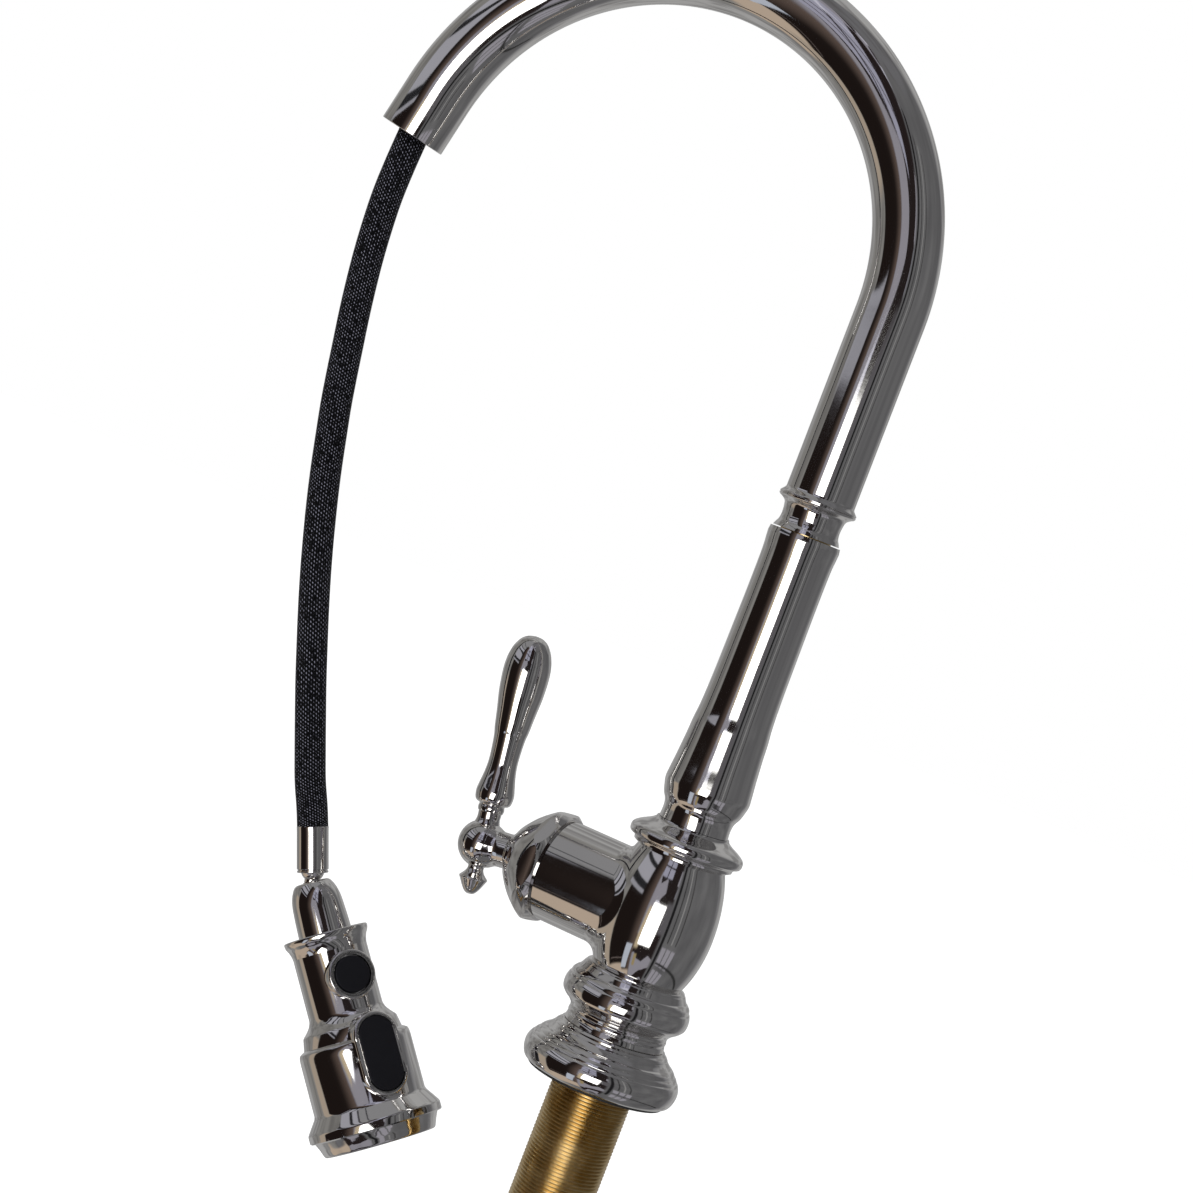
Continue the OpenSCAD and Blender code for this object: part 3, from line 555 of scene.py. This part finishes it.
def rolling_ball(line, theta):
    """The ball's centre at one angle round the barrel, and its two touching points from there."""
    size = BALL_R - BALL_R_UP * cos(theta) + BALL_R_SIDE * sin(theta) ** 2
    y, z = (BARREL_R + size) * sin(theta), VALVE_Z + (BARREL_R + size) * cos(theta)
    low, high = NEAR_AXIS, FAR_OUT
    for _ in range(HALVINGS):
        x = (low + high) / 2
        spot = Vector((hypot(x, y), z))
        low, high = (low, x) if (nearest(line, spot) - spot).length > size else (x, high)
    touch = nearest(line, spot)
    centre = Vector((-x, y, z))
    on_barrel = Vector((-x, BARREL_R * sin(theta), VALVE_Z + BARREL_R * cos(theta)))
    on_body = Vector((-x * touch.x / spot.x, y * touch.x / spot.x, touch.y))
    return centre, on_barrel - centre, on_body - centre


def rolled_fillet(around=240, across=20, proud=0.006, thick=0.5):
    """A closed strip: the fillet's face and, a little inside it, its back."""
    line = [Vector(p) for p in [(17, 38), *BELLY, (17.4, 104)]]
    balls = [rolling_ball(line, 2 * pi * i / around) for i in range(around)]
    shape = bmesh.new()
    rows = 2 * across + 2
    bmesh.ops.create_grid(shape, x_segments=around, y_segments=rows, size=1)
    way = shape.verts.layers.float_vector.new("way")
    for v in shape.verts:
        i = round((v.co.x + 1) / 2 * around) % around
        j = round((v.co.y + 1) / 2 * rows) % rows
        centre, start, end = balls[i]
        back = j > across
        spoke = start.slerp(end, (2 * across + 1 - j if back else j) / across)
        v[way] = -spoke
        v.co = centre + spoke * (start.length + (thick if back else -proud))
    return shape


fillet = finish_mesh("valve_fillet", rolled_fillet(), UPRIGHT, nickel, sharp=60)
ways = [w.vector for w in fillet.data.attributes["way"].data]
fillet.data.normals_split_custom_set_from_vertices(ways)
settle(fillet, "faucet_body", "polished_metal")

# %% [markdown]
# ## Column
# The column is a baluster: a swelling over a narrow foot, then a long taper up to the swivel.

# %% Column
turned("column_turning", "faucet_body", ["column"], UPRIGHT, nickel,
       [[(11, 100.3)], [(12.4, 100.3)], [(12.4, 109.1)], [(14.4, 109.1), (14.2, 111.8),
       (14.3, 114), (14.8, 116), (16.1, 118.4), (16.9, 121), (17.6, 124.2), (17.4, 127.6),
       (16.8, 133.7), (16.4, 138.7), (16, 144), (15.7, 149.7), (15.2, 154.7), (14.9, 160),
       (14.6, 169), (14.4, 185), (14.2, 205), (14.25, 221), (14.6, 226.5), (14.8, 229.5)],
       [(14.5, 231.5)], [(12.2, 231.5)], [(12.2, 196)], [(11, 196)]], "polished_metal", steps=128,
       closed=True)

# %% [markdown]
# ## Spout
# The spout is one tube, bent once. A circle is run up the riser, spun about the bend's centre and
# run on to the mouth, first at the outside radius and then at the inside one, and the two skins are
# bridged.

# %% Spout
turned("spout_foot", "spout", ["spout_collar"], UPRIGHT, nickel,
       [[(13.8, 232), (13.2, 233.4), (12.4, 235), (12.1, 237.5), (12.4, 240.6), (13, 242.4),
       (14.6, 243.6)], [(15.3, 243.9), (15.8, 244.4), (15.9, 244.9)], [(15.6, 245.1)],
       [(15.9, 245.3), (15.8, 245.8), (14.9, 246.8), (14.3, 247.6), (14.15, 248.3)],
       [(12.4, 248.3)], [(12.4, 245.3)], [(9, 245.3)], [(9, 240)], [(10.5, 240)], [(10.5, 232)]],
       "polished_metal", steps=128, closed=True)
ARC_R, ARC_DEG, RISER, MOUTH = 106, 167, 323.5, 20
TUBE_R, TUBE_BORE, TUBE_FOOT = 14.15, 12.95, 248.3


def verts_of(made):
    return [g for g in made if isinstance(g, bmesh.types.BMVert)]


def edges_of(made):
    return [g for g in made if isinstance(g, bmesh.types.BMEdge)]


def round_edges(shape, edges, offset, segments):
    bmesh.ops.bevel(shape, geom=edges, offset=offset, offset_type="OFFSET", segments=segments,
                    profile=0.5, affect="EDGES", material=-1)


def tube_skin(shape, r, steps=110):
    """The skin of the bent tube at radius r, and its first and last ring of edges."""
    made = bmesh.ops.create_circle(shape, segments=64, radius=r, matrix=shift(0, 0, TUBE_FOOT))
    first = list({e for v in made["verts"] for e in v.link_edges})
    ring = bmesh.ops.extrude_edge_only(shape, edges=first)["geom"]
    bmesh.ops.translate(shape, vec=(0, 0, RISER - TUBE_FOOT), verts=verts_of(ring))
    swept = bmesh.ops.spin(shape, geom=verts_of(ring) + edges_of(ring), cent=(-ARC_R, 0, RISER),
                           axis=(0, -1, 0), angle=radians(ARC_DEG), steps=steps)["geom_last"]
    ring = bmesh.ops.extrude_edge_only(shape, edges=edges_of(swept))["geom"]
    way = Vector((-sin(radians(ARC_DEG)), 0, cos(radians(ARC_DEG))))
    bmesh.ops.translate(shape, vec=way * MOUTH, verts=verts_of(ring))
    return first, edges_of(ring)


def bent_tube():
    shape = bmesh.new()
    outer, inner = tube_skin(shape, TUBE_R), tube_skin(shape, TUBE_BORE)
    for a, b in zip(outer, inner):
        bmesh.ops.bridge_loops(shape, edges=a + b)
    round_edges(shape, [e for e in outer[1] + inner[1] if e.is_valid], 0.35, 3)
    return shape


spout_piece = finish_mesh("spout_bend", bent_tube(), SPOUT, nickel)
settle(spout_piece, "spout", "polished_metal", "spout_tube", "spout_mouth")

# %% [markdown]
# ## Valve nut and dome
# The nut and its dome are one piece: a dome came off the lathe and eight flats were then milled
# into its widest part, so each flat is a lens with pointed ends. The same two cuts are made here:
# an eight-sided bar meets a turned blank, and only what lies in both is kept. A narrow bevel
# catches the light.

# %% Valve nut and dome
def bake(piece):
    """Applies a piece's modifiers."""
    bpy.context.view_layer.update()
    solid = piece.evaluated_get(bpy.context.evaluated_depsgraph_get())
    mesh = bpy.data.meshes.new_from_object(solid)
    piece.modifiers.clear()
    piece.data = mesh


def keep_common(piece, cutter):
    """Keeps what lies in both pieces and removes the second."""
    cut = piece.modifiers.new("cut", "BOOLEAN")
    cut.object, cut.operation, cut.solver = cutter, "INTERSECT", "EXACT"
    bake(piece)
    bpy.data.objects.remove(cutter)


def soften(piece, width, angle=30, segments=2):
    """Rounds the piece's sharp edges by a width in millimetres."""
    edge = piece.modifiers.new("edge", "BEVEL")
    edge.width, edge.segments, edge.limit_method = width / 1000, segments, "ANGLE"
    edge.angle_limit = radians(angle)
    edge.harden_normals = True
    bake(piece)


def eight_sided_bar(across_flats, low, high):
    shape = bmesh.new()
    corner_r = across_flats / 2 / cos(pi / 8)
    bmesh.ops.create_cone(shape, cap_ends=True, segments=8, radius1=corner_r, radius2=corner_r,
                          depth=high - low, matrix=shift(0, 0, (low + high) / 2) @ turn(22.5, "Z"))
    return shape


def dome_blank():
    shape = bmesh.new()
    spin_outline(shape, [[(20.1, 48)], [(21.8, 48)], [(22.2, 48.5)],
                         [(23.6, 50.4), (23.9, 51.5), (23.3, 53.4), (21.1, 56.9), (17.4, 61.5),
                          (12.9, 65.7), (10.4, 67.4)],
                         [(10, 67.5)], [(10, 67.2)], [(10.8, 65.9), (11.7, 63.8), (12.3, 60)],
                         [(12.3, 58)], [(13.8, 58)], [(13.8, 56.2)], [(20.1, 56.2)]],
                 steps=160, fine=6, closed=True)
    return shape


nut = finish_mesh("valve_nut", dome_blank(), VALVE, nickel)
keep_common(nut, finish_mesh("flats", eight_sided_bar(44.5, 47, 70), VALVE, nickel))
soften(nut, 0.3)
settle(nut, "faucet_body", "polished_metal", "valve_bonnet")

# %% [markdown]
# ## Lever
# The lever is a small turned handle on a ball, with a finial below it, on a stem that comes out of
# the dome. Inside the dome the stem ends in a larger ball, which closes the dome's round opening.

# %% Lever
TILT, TILT_BALL_R = LEVER @ turn(-90, "Y"), 12
turned("lever_neck", "lever", ["tilt_ball"], TILT, nickel,
       [[(6.6, -5)], [(sqrt(TILT_BALL_R ** 2 - z * z), z) for z in (-5, -3, -1, 1, 3, 5, 7, 8.4,
       9.3)], [(7.2, 9.7)], [(7.2, 12.48)], [(3, 12.48)], [(3, 6)], [(6.6, 6)]], "polished_metal",
       closed=True)
turned("lever_collar", "lever", ["lever_stem"], TILT, nickel,
       [[(0, 9.6)], [(2.9, 9.6)], [(2.9, 12.52)], [(7.2, 12.52)], [(7.2, 13.6), (7.3, 14.8),
        (7.7, 16), (8.3, 17.2), (8.8, 18.2)], [(8.5, 18.8)], [(0, 19)]], "polished_metal")


def ball(r):
    shape = bmesh.new()
    bmesh.ops.create_uvsphere(shape, u_segments=96, v_segments=48, radius=r)
    return shape


settle(finish_mesh("lever_knuckle", ball(9.9), BALL, nickel), "lever", "polished_metal",
       "lever_ball")
GRIP = [(5.5, 16.5), (6.6, 16.9), (7.5, 18.1), (7.9, 21.2), (7.3, 24.8), (6.5, 29), (6, 34),
        (6.15, 39.8), (6.55, 44.8), (7.15, 48.1), (8, 54.8), (9, 61.5), (9.45, 66.5), (9.65, 71.6),
        (9.4, 75.6), (8.8, 78.6), (7.7, 81.8), (5.6, 85), (3, 86.7), (0, 87.2)]
turned("lever_grip", "lever", ["lever_handle"], BALL, nickel,
       [[(0, 8)], [(5.3, 8.3), (4.9, 9.6), (4.7, 11), (4.8, 13.2)],
        [(5.2, 13.5), (5.45, 14.8), (5.2, 16.1)], GRIP], "polished_metal")
turned("lever_tip", "lever", ["lever_finial"], BALL @ turn(180, "X"), nickel,
       [[(0, 8)], [(3.7, 8.6), (3.3, 9.6), (3.4, 10.9), (4.2, 12.3), (5.7, 13.9)], [(5.9, 14.2)],
        [(5.8, 14.6), (4.9, 16.2), (3.8, 18.2), (2.6, 19.9), (1.4, 20.8), (0, 21)]],
       "polished_metal")

# %% [markdown]
# ## Neck
# A short polished neck joins the hose to the head. Its ball sits in the end of the ferrule, a
# little to one side of the head's axis, and a slanted stem leads from it into the head.

# %% Neck
NECK_BALL_R, STEM_R, STEM_LENGTH, STEM_LEAN = 4.9, 3, 5.2, 22.2


def neck():
    shape = bmesh.new()
    spin_outline(shape, [[(0, -1)], [(3.5, -0.6)], [(3.5, 3)], [(5, 3)], [(5, 10)], [(7.5, 10)],
                         [(7.5, 13)], [(0, 13)]], steps=64)
    bmesh.ops.create_uvsphere(shape, u_segments=64, v_segments=32, radius=NECK_BALL_R,
                              matrix=shift(BALL_ASIDE, 0, -BALL_ABOVE))
    bmesh.ops.create_cone(shape, cap_ends=True, segments=64, radius1=STEM_R, radius2=STEM_R,
                          depth=STEM_LENGTH, matrix=shift(0.8, 0, -2.2) @ turn(-STEM_LEAN, "Y"))
    return shape


settle(finish_mesh("swivel_neck", neck(), HEAD, nickel), "hose_end", "polished_metal",
       "swivel_stem")

# %% [markdown]
# ## Spray head
# The head is a row of turned pieces: a bullet-shaped plug that slides into the spout, a rim that
# meets the spout's mouth, a grip and a bell. Two bosses stand on it for the button and the long
# pad.

# %% Spray head shells
turned("docking_plug", "spray_head", ["head_plug"], HEAD, nickel,
       [[(3.6, 0)], [(6.6, 0), (7.6, 0.7), (8.7, 2.6), (9.6, 5), (10.2, 8), (10.5, 12), (10.75, 17),
        (10.9, 21.5)], [(10.9, 22.6)], [(12.4, 22.6)], [(12.4, 31)], [(8.5, 31)], [(8.5, 10)],
        [(5.1, 9.9)], [(5.1, 3.1)], [(3.6, 3)]], "polished_metal", closed=True)
turned("docking_rim", "spray_head", ["docking_collar"], HEAD, nickel,
       [[(11, 22)], [(15.6, 21.7), (16.7, 21.5), (17.3, 21.9), (17.3, 22.9), (17, 24), (16.2, 25.5),
        (15.6, 27.3), (15.3, 29)], [(12.5, 29)], [(12.5, 22.8)], [(11, 22.6)]], "polished_metal",
       steps=128, closed=True)
turned("head_casting", "spray_head", ["head_shell"], HEAD, nickel,
       [[(15.3, 29.01)], [(15.3, 54)], [(15.5, 55), (16.2, 56.6), (17.4, 58.2), (19.1, 60)],
        [(19.5, 60.6)], [(20.4, 65.4)], [(21.6, 66), (22.5, 66.7), (22.9, 68.2), (23, 70)],
        [(23, 91.5)], [(23.4, 92.7), (24.6, 94.4), (26, 96.4), (27.2, 98.2), (27.4, 99)],
        [(27.4, 101.5)], [(26.9, 102)], [(24, 102)], [(24, 96.5)], [(20.4, 96)], [(20.4, 66)],
        [(15.8, 66)], [(15.8, 57)], [(13.3, 57)], [(13.3, 31)], [(12.5, 31)], [(12.5, 29.01)]],
       "polished_metal", steps=160, closed=True)
turned("face_ring", "spray_head", ["bottom_ring"], HEAD, nickel,
       [[(21, 96.5)], [(24, 96.5)], [(24, 102.02)], [(25.6, 102.02)], [(25.2, 102.8), (24.2, 105),
       (23.6, 106.6), (23, 108.1), (22.4, 108.5)], [(21, 108.5)]], "polished_metal", steps=128,
       closed=True)

# %% [markdown]
# The bosses are drawn as an oval slab standing out of the head. Its top edge is rounded, and a
# recess is cut into the top for the button. A short oval with equal length and width is a round
# one.

# %% Bosses and buttons
def oval_slab(width, length, low, high, inset=0, drop=0, edge=0.8):
    """An oval slab along Z; with an inset its top has a recess of that lip and that drop."""
    shape = bmesh.new()
    reach = (length - width) / 2
    bmesh.ops.create_circle(shape, cap_ends=True, segments=96, radius=width / 2,
                            matrix=shift(0, 0, low))
    for v in shape.verts:
        v.co.x += reach * (1 if v.co.x > 1e-6 else -1 if v.co.x < -1e-6 else 0)
    risen = bmesh.ops.extrude_face_region(shape, geom=shape.faces[:])["geom"]
    bmesh.ops.translate(shape, vec=(0, 0, high - low), verts=verts_of(risen))
    top = [g for g in risen if isinstance(g, bmesh.types.BMFace)]
    rim = list(top[0].edges)
    if inset:
        bmesh.ops.inset_region(shape, faces=top, thickness=inset, use_even_offset=True)
        lip = list(top[0].edges)
        floor = bmesh.ops.extrude_face_region(shape, geom=top)["geom"]
        bmesh.ops.delete(shape, geom=top, context="FACES_ONLY")
        bmesh.ops.translate(shape, vec=(0, 0, -drop), verts=verts_of(floor))
        round_edges(shape, lip, 0.3, 3)
        rim = [e for e in shape.edges
               if all(abs(v.co.z - high) < 1e-4 for v in e.verts)
               and max(hypot(v.co.x - reach * (1 if v.co.x > 0 else -1), v.co.y)
                       for v in e.verts) > width / 2 - 0.05]
    round_edges(shape, rim, edge, 5)
    return shape


def slab_piece(name, body, s, material, slot, nodes=(), **sizes):
    piece = finish_mesh(name, oval_slab(**sizes), head_side(s), material)
    return settle(piece, body, slot, *nodes)


PAD_AT, BUTTON_AT = 73.9, 40.5
slab_piece("pad_boss", "spray_head", PAD_AT, nickel, "polished_metal", width=19.4, length=34.4,
           low=14, high=24.7, inset=1.9, drop=5.9, edge=1.3)
slab_piece("button_boss", "spray_head", BUTTON_AT, nickel, "polished_metal", width=20.4,
           length=20.4, low=9, high=16.9, inset=2.3, drop=6.2, edge=1.1)
slab_piece("long_pad", "spray_toggle", PAD_AT, black_plastic, "black_plastic", ["toggle_pad"],
           width=15.2, length=30.2, low=20.3, high=25, edge=0.6)
slab_piece("round_button", "pause_button", BUTTON_AT, black_plastic, "black_plastic",
           ["pause_button"], width=15, length=15, low=12.2, high=17.2, edge=0.6)

# %% [markdown]
# ## Inner pieces
# Bushings, seals, the cartridge and the waterway keep their exact solids and get their finishes.

# %% Finishes for the pieces kept from the model
FINISHES = {"polished_metal": nickel, "inner_steel": steel, "brass": brass,
            "black_rubber": black_rubber, "white_nylon": white_nylon,
            "black_plastic": black_plastic}
plain_braid = braid("inner_braid", AROUND, INNER_TURNS)
slots = {p["node"]: p["material_slot"] for p in frame["record"]["subparts"]}
for name, node in frame["nodes"].items():
    node.data.materials.clear()
    node.data.materials.append(FINISHES.get(slots[name], plain_braid))
print("kept:", sum(not n.hide_render for n in frame["nodes"].values()), "nodes")

# %% [markdown]
# ## Floor and background
# The floor is white and can't be seen in the metal, and it lies just below the lowest piece.

# %% Floor and background
FLOOR_HALF, FLOOR_GAP, FLOOR_GLOW = 8, 0.002, 0.42


def surroundings(name, shape):
    """An object that isn't a part of the faucet."""
    mesh = bpy.data.meshes.new(name)
    shape.to_mesh(mesh)
    shape.free()
    thing = bpy.data.objects.new(name, mesh)
    scene.collection.objects.link(thing)
    return thing


def white_floor():
    shape = bmesh.new()
    bmesh.ops.create_grid(shape, x_segments=1, y_segments=1, size=FLOOR_HALF)
    bmesh.ops.translate(shape, vec=(0, 0, cad_box[0][2] - FLOOR_GAP), verts=shape.verts)
    floor = surroundings("floor", shape)
    recipe = Recipe("pale_floor")
    seen = recipe.node("ShaderNodeLightPath").out("Is Camera Ray")
    recipe.finish(Base_Color=(0.9, 0.9, 0.9, 1), Roughness=1.0, Emission_Color=(1, 1, 1, 1),
                  Emission_Strength=seen * FLOOR_GLOW)
    floor.data.materials.append(recipe.material)
    floor.visible_glossy = False


white_floor()
print("floor", FLOOR_GAP, "m below the lowest piece")

# %% [markdown]
# ## Room
# Polished metal shows its surroundings, so the surroundings are part of the finish. A dome that
# only reflections can see carries them: a table below, a dark doorway with shelf boards over it on
# the left, clutter and a bright window behind the camera, and a dim wall on the right.

# %% Dome
ROOM_R = 4


def room_dome():
    shape = bmesh.new()
    bmesh.ops.create_uvsphere(shape, u_segments=64, v_segments=32, radius=ROOM_R)
    bmesh.ops.reverse_faces(shape, faces=shape.faces)
    dome = surroundings("room", shape)
    for way in ("camera", "diffuse", "transmission", "volume_scatter", "shadow"):
        setattr(dome, "visible_" + way, False)
    return dome


dome = room_dome()
print("dome", len(dome.data.polygons), "faces")

# %% [markdown]
# The dome is painted by compass direction and height above level. Each patch is one product of soft
# steps, and later patches cover earlier ones, as on a canvas. The directions run from -300 to 60
# degrees, so that the seam falls where nothing is painted.

# %% Tools for the paint
SEAM = 60


class Room(Recipe):
    """The painted surroundings, by compass direction and height above level, in degrees."""

    def __init__(self, base):
        super().__init__("room")
        self.tone = base
        self.way = self.node("ShaderNodeVectorMath", {"operation": "NORMALIZE"},
                             self.place()).out(0)
        split = self.node("ShaderNodeSeparateXYZ", None, self.way)
        x, y, z = split.out("X"), split.out("Y"), split.out("Z")
        c, s = cos(radians(180 - SEAM)), sin(radians(180 - SEAM))
        turned_x, turned_y = x * c - y * s, x * s + y * c
        self.azimuth = turned_y.maths("ARCTAN2", turned_y, turned_x) * (180 / pi) - (180 - SEAM)
        self.height = z.maths("ARCSINE", z) * (180 / pi)

    def between(self, wire, low, high, soft):
        return wire.above(low, soft) * (1 - wire.above(high, soft))

    def leaning(self, lean):
        return self.azimuth - self.height * lean if lean else self.azimuth

    def panel(self, azimuth, height, soft=1, lean=0):
        """A four-sided patch; a lean shifts it sideways as it rises."""
        return (self.between(self.leaning(lean), *azimuth, soft)
                * self.between(self.height, *height, soft))

    def panes(self, azimuth, height, columns, rows, bar, lean=0):
        """A window: a patch cut into panes by dark bars."""
        seen = self.panel(azimuth, height, 0.4, lean)
        sides = ((self.leaning(lean), azimuth, columns), (self.height, height, rows))
        for wire, (low, high), count in sides:
            place = (wire - low) * (count / (high - low))
            seen = seen * self.between(place.maths("FRACT", place), bar, 1 - bar, 0.03)
        return seen

    def shards(self, width, height, seed):
        """A random value for each many-sided cell, as cluttered shelves look in a mirror."""
        cells = (self.azimuth * (1 / width), self.height * (1 / height), seed)
        spot = self.node("ShaderNodeCombineXYZ", None, *cells)
        cell = self.node("ShaderNodeTexVoronoi", None).set("Vector", spot.out(0)).set("Scale", 1)
        return self.node("ShaderNodeSeparateXYZ", None, cell.out("Color")).out("X")

    def paint(self, share, colour):
        self.tone = self.mix(share, self.tone, colour)


# %% [markdown]
# The patches come in this order: walls and table, the shelf boards of the left side, the doorway,
# the clutter with its small windows, the wall on the right with its frames, and last the bright
# window.

# %% Paint
def paint_left(room):
    room.paint(room.panel((-205, -146), (-90, 90), 6), (0.25, 0.245, 0.235))
    room.paint(room.panel((-292, -200), (-90, 90), 14), (0.42, 0.42, 0.42))
    room.paint(room.noise(5, 5, room.way).above(0.55, 0.12) * 0.5, (0.08, 0.075, 0.075))
    side = room.azimuth.above(-160, 3) * (1 - room.azimuth.above(-100, 3))
    room.paint(side * room.height.above(20, 2), (0.27, 0.27, 0.28))
    room.paint(room.panel((-190, -98), (-66, -40), 3), (0.52, 0.42, 0.33))
    room.paint(room.panel((-170, -152), (-50, -9), 3, 0.1), (0.42, 0.35, 0.28))
    room.paint(room.panel((-151, -102), (-42, 9), 1.5, 0.12), (0.013, 0.009, 0.008))
    for low, high, shade in ((7.5, 10, 0.33), (10, 14.5, 0.02), (14.5, 25, 0.38), (25, 28.5, 0.02),
                             (28.5, 34.5, 0.40), (34.5, 36.5, 0.04), (45, 46.5, 0.05)):
        room.paint(room.panel((-158, -98), (low, high), 0.4), (shade, shade, shade * 1.12))
    room.paint(room.panel((-150, -106), (-37.5, -36.7), 0.2), (0.16, 0.13, 0.12))


def paint_middle(room, cells):
    brown = room.azimuth.above(-104, 11)
    room.paint(room.panel((-118, -91), (-48, 52), 2),
               room.mix(brown, (0.014, 0.010, 0.009), (0.13, 0.095, 0.08)))
    clutter = room.panel((-97, -50), (-72, 66), 2)
    room.paint(clutter, (0.020, 0.015, 0.015))
    room.paint(clutter * cells.above(0.62, 0.01), (0.30, 0.29, 0.33))
    room.paint(clutter * cells.above(0.86, 0.01), (0.62, 0.62, 0.72))
    room.paint(room.panes((-93, -66), (24, 60), 2, 4, 0.07, -0.15), (0.36, 0.36, 0.45))
    room.paint(room.panes((-58, -40), (12, 42), 2, 3, 0.12, 0.2), (0.22, 0.22, 0.26))
    room.paint(room.panel((-106, -93), (-46, -24), 0.6, 0.3), (0.50, 0.54, 0.62))
    room.paint(room.panel((-92, -86), (-42, -31), 0.8), (0.34, 0.27, 0.14))


def paint_right(room):
    haze = room.noise(2.5, 3, room.way)
    room.paint(room.panel((-52, 57), (-66, 64), 3),
               room.mix(haze, (0.06, 0.06, 0.065), (0.21, 0.21, 0.215)))
    room.paint(room.panel((-62, -50), (-10, 10), 2), (0.12, 0.115, 0.125))
    room.paint(room.panes((-44, -12), (-56, -16), 3, 2, 0.1, -0.1), (0.33, 0.32, 0.36))
    room.paint(room.panel((-48, -43), (-50, 50), 1), (0.012, 0.012, 0.013))
    for azimuth, shade in ((-36, 0.04), (-27, 0.30), (-18, 0.05)):
        room.paint(room.panel((azimuth, azimuth + 2.2), (-14, 48), 0.5), (shade,) * 3)
    room.paint(room.panel((-40, 57), (-33, -31), 0.6), (0.03, 0.03, 0.03))


def paint_room():
    room = Room((0.16, 0.16, 0.17))
    cells = room.shards(19, 11, 3.3)
    paint_left(room)
    paint_middle(room, cells)
    paint_right(room)
    room.paint(room.panel((-94, -86), (-26, 4), 2, 0.12), (0.55, 0.45, 0.30))
    room.paint(room.panel((-88, -63), (-22, 7), 1.2, 0.12), (4, 4, 3.95))
    emission = room.node("ShaderNodeEmission").set("Color", room.tone).set("Strength", 1)
    room.output.set("Surface", emission.out(0))
    return room


room = paint_room()
dome.data.materials.append(room.material)
print("room paint", len(room.tree.nodes), "nodes")

# %% [markdown]
# ## World and lamp
# The world is white to the camera and in the metal, and a little dimmer as a light. One large soft
# lamp stands where the bright window is.

# %% World and lamp
WORLD_AS_LIGHT = 0.75


def white_world():
    world = bpy.data.worlds.new("studio")
    scene.world = world
    graph = Graph(world)
    path = graph.node("ShaderNodeLightPath")
    camera_ray, glossy_ray = path.out("Is Camera Ray"), path.out("Is Glossy Ray")
    seen = camera_ray.maths("MAXIMUM", camera_ray, glossy_ray)
    strength = seen * (1 - WORLD_AS_LIGHT) + WORLD_AS_LIGHT
    back = graph.node("ShaderNodeBackground", None, Color=(1, 1, 1, 1), Strength=strength)
    graph.node("ShaderNodeOutputWorld", None, Surface=back.out(0))


def toward(azimuth, elevation):
    a, e = radians(azimuth), radians(elevation)
    return Vector((cos(e) * cos(a), cos(e) * sin(a), sin(e)))


def soft_lamp(name, azimuth, elevation, distance, size, power, aim=(-0.08, 0, 0.15)):
    data = bpy.data.lights.new(name, "AREA")
    data.size, data.energy = size, power
    lamp = bpy.data.objects.new(name, data)
    scene.collection.objects.link(lamp)
    way = toward(azimuth, elevation)
    facing = way.to_track_quat("Z", "Y").to_matrix().to_4x4()
    lamp.matrix_world = Matrix.Translation(way * distance + Vector(aim)) @ facing
    lamp.visible_glossy = False
    return lamp


white_world()
lamp = soft_lamp("window_light", azimuth=-95, elevation=30, distance=2.2, size=1.2, power=22)
print(lamp.name, lamp.data.energy, "W")

# %% Colour handling
scene.view_settings.view_transform = "Standard"
print("view transform:", scene.view_settings.view_transform)
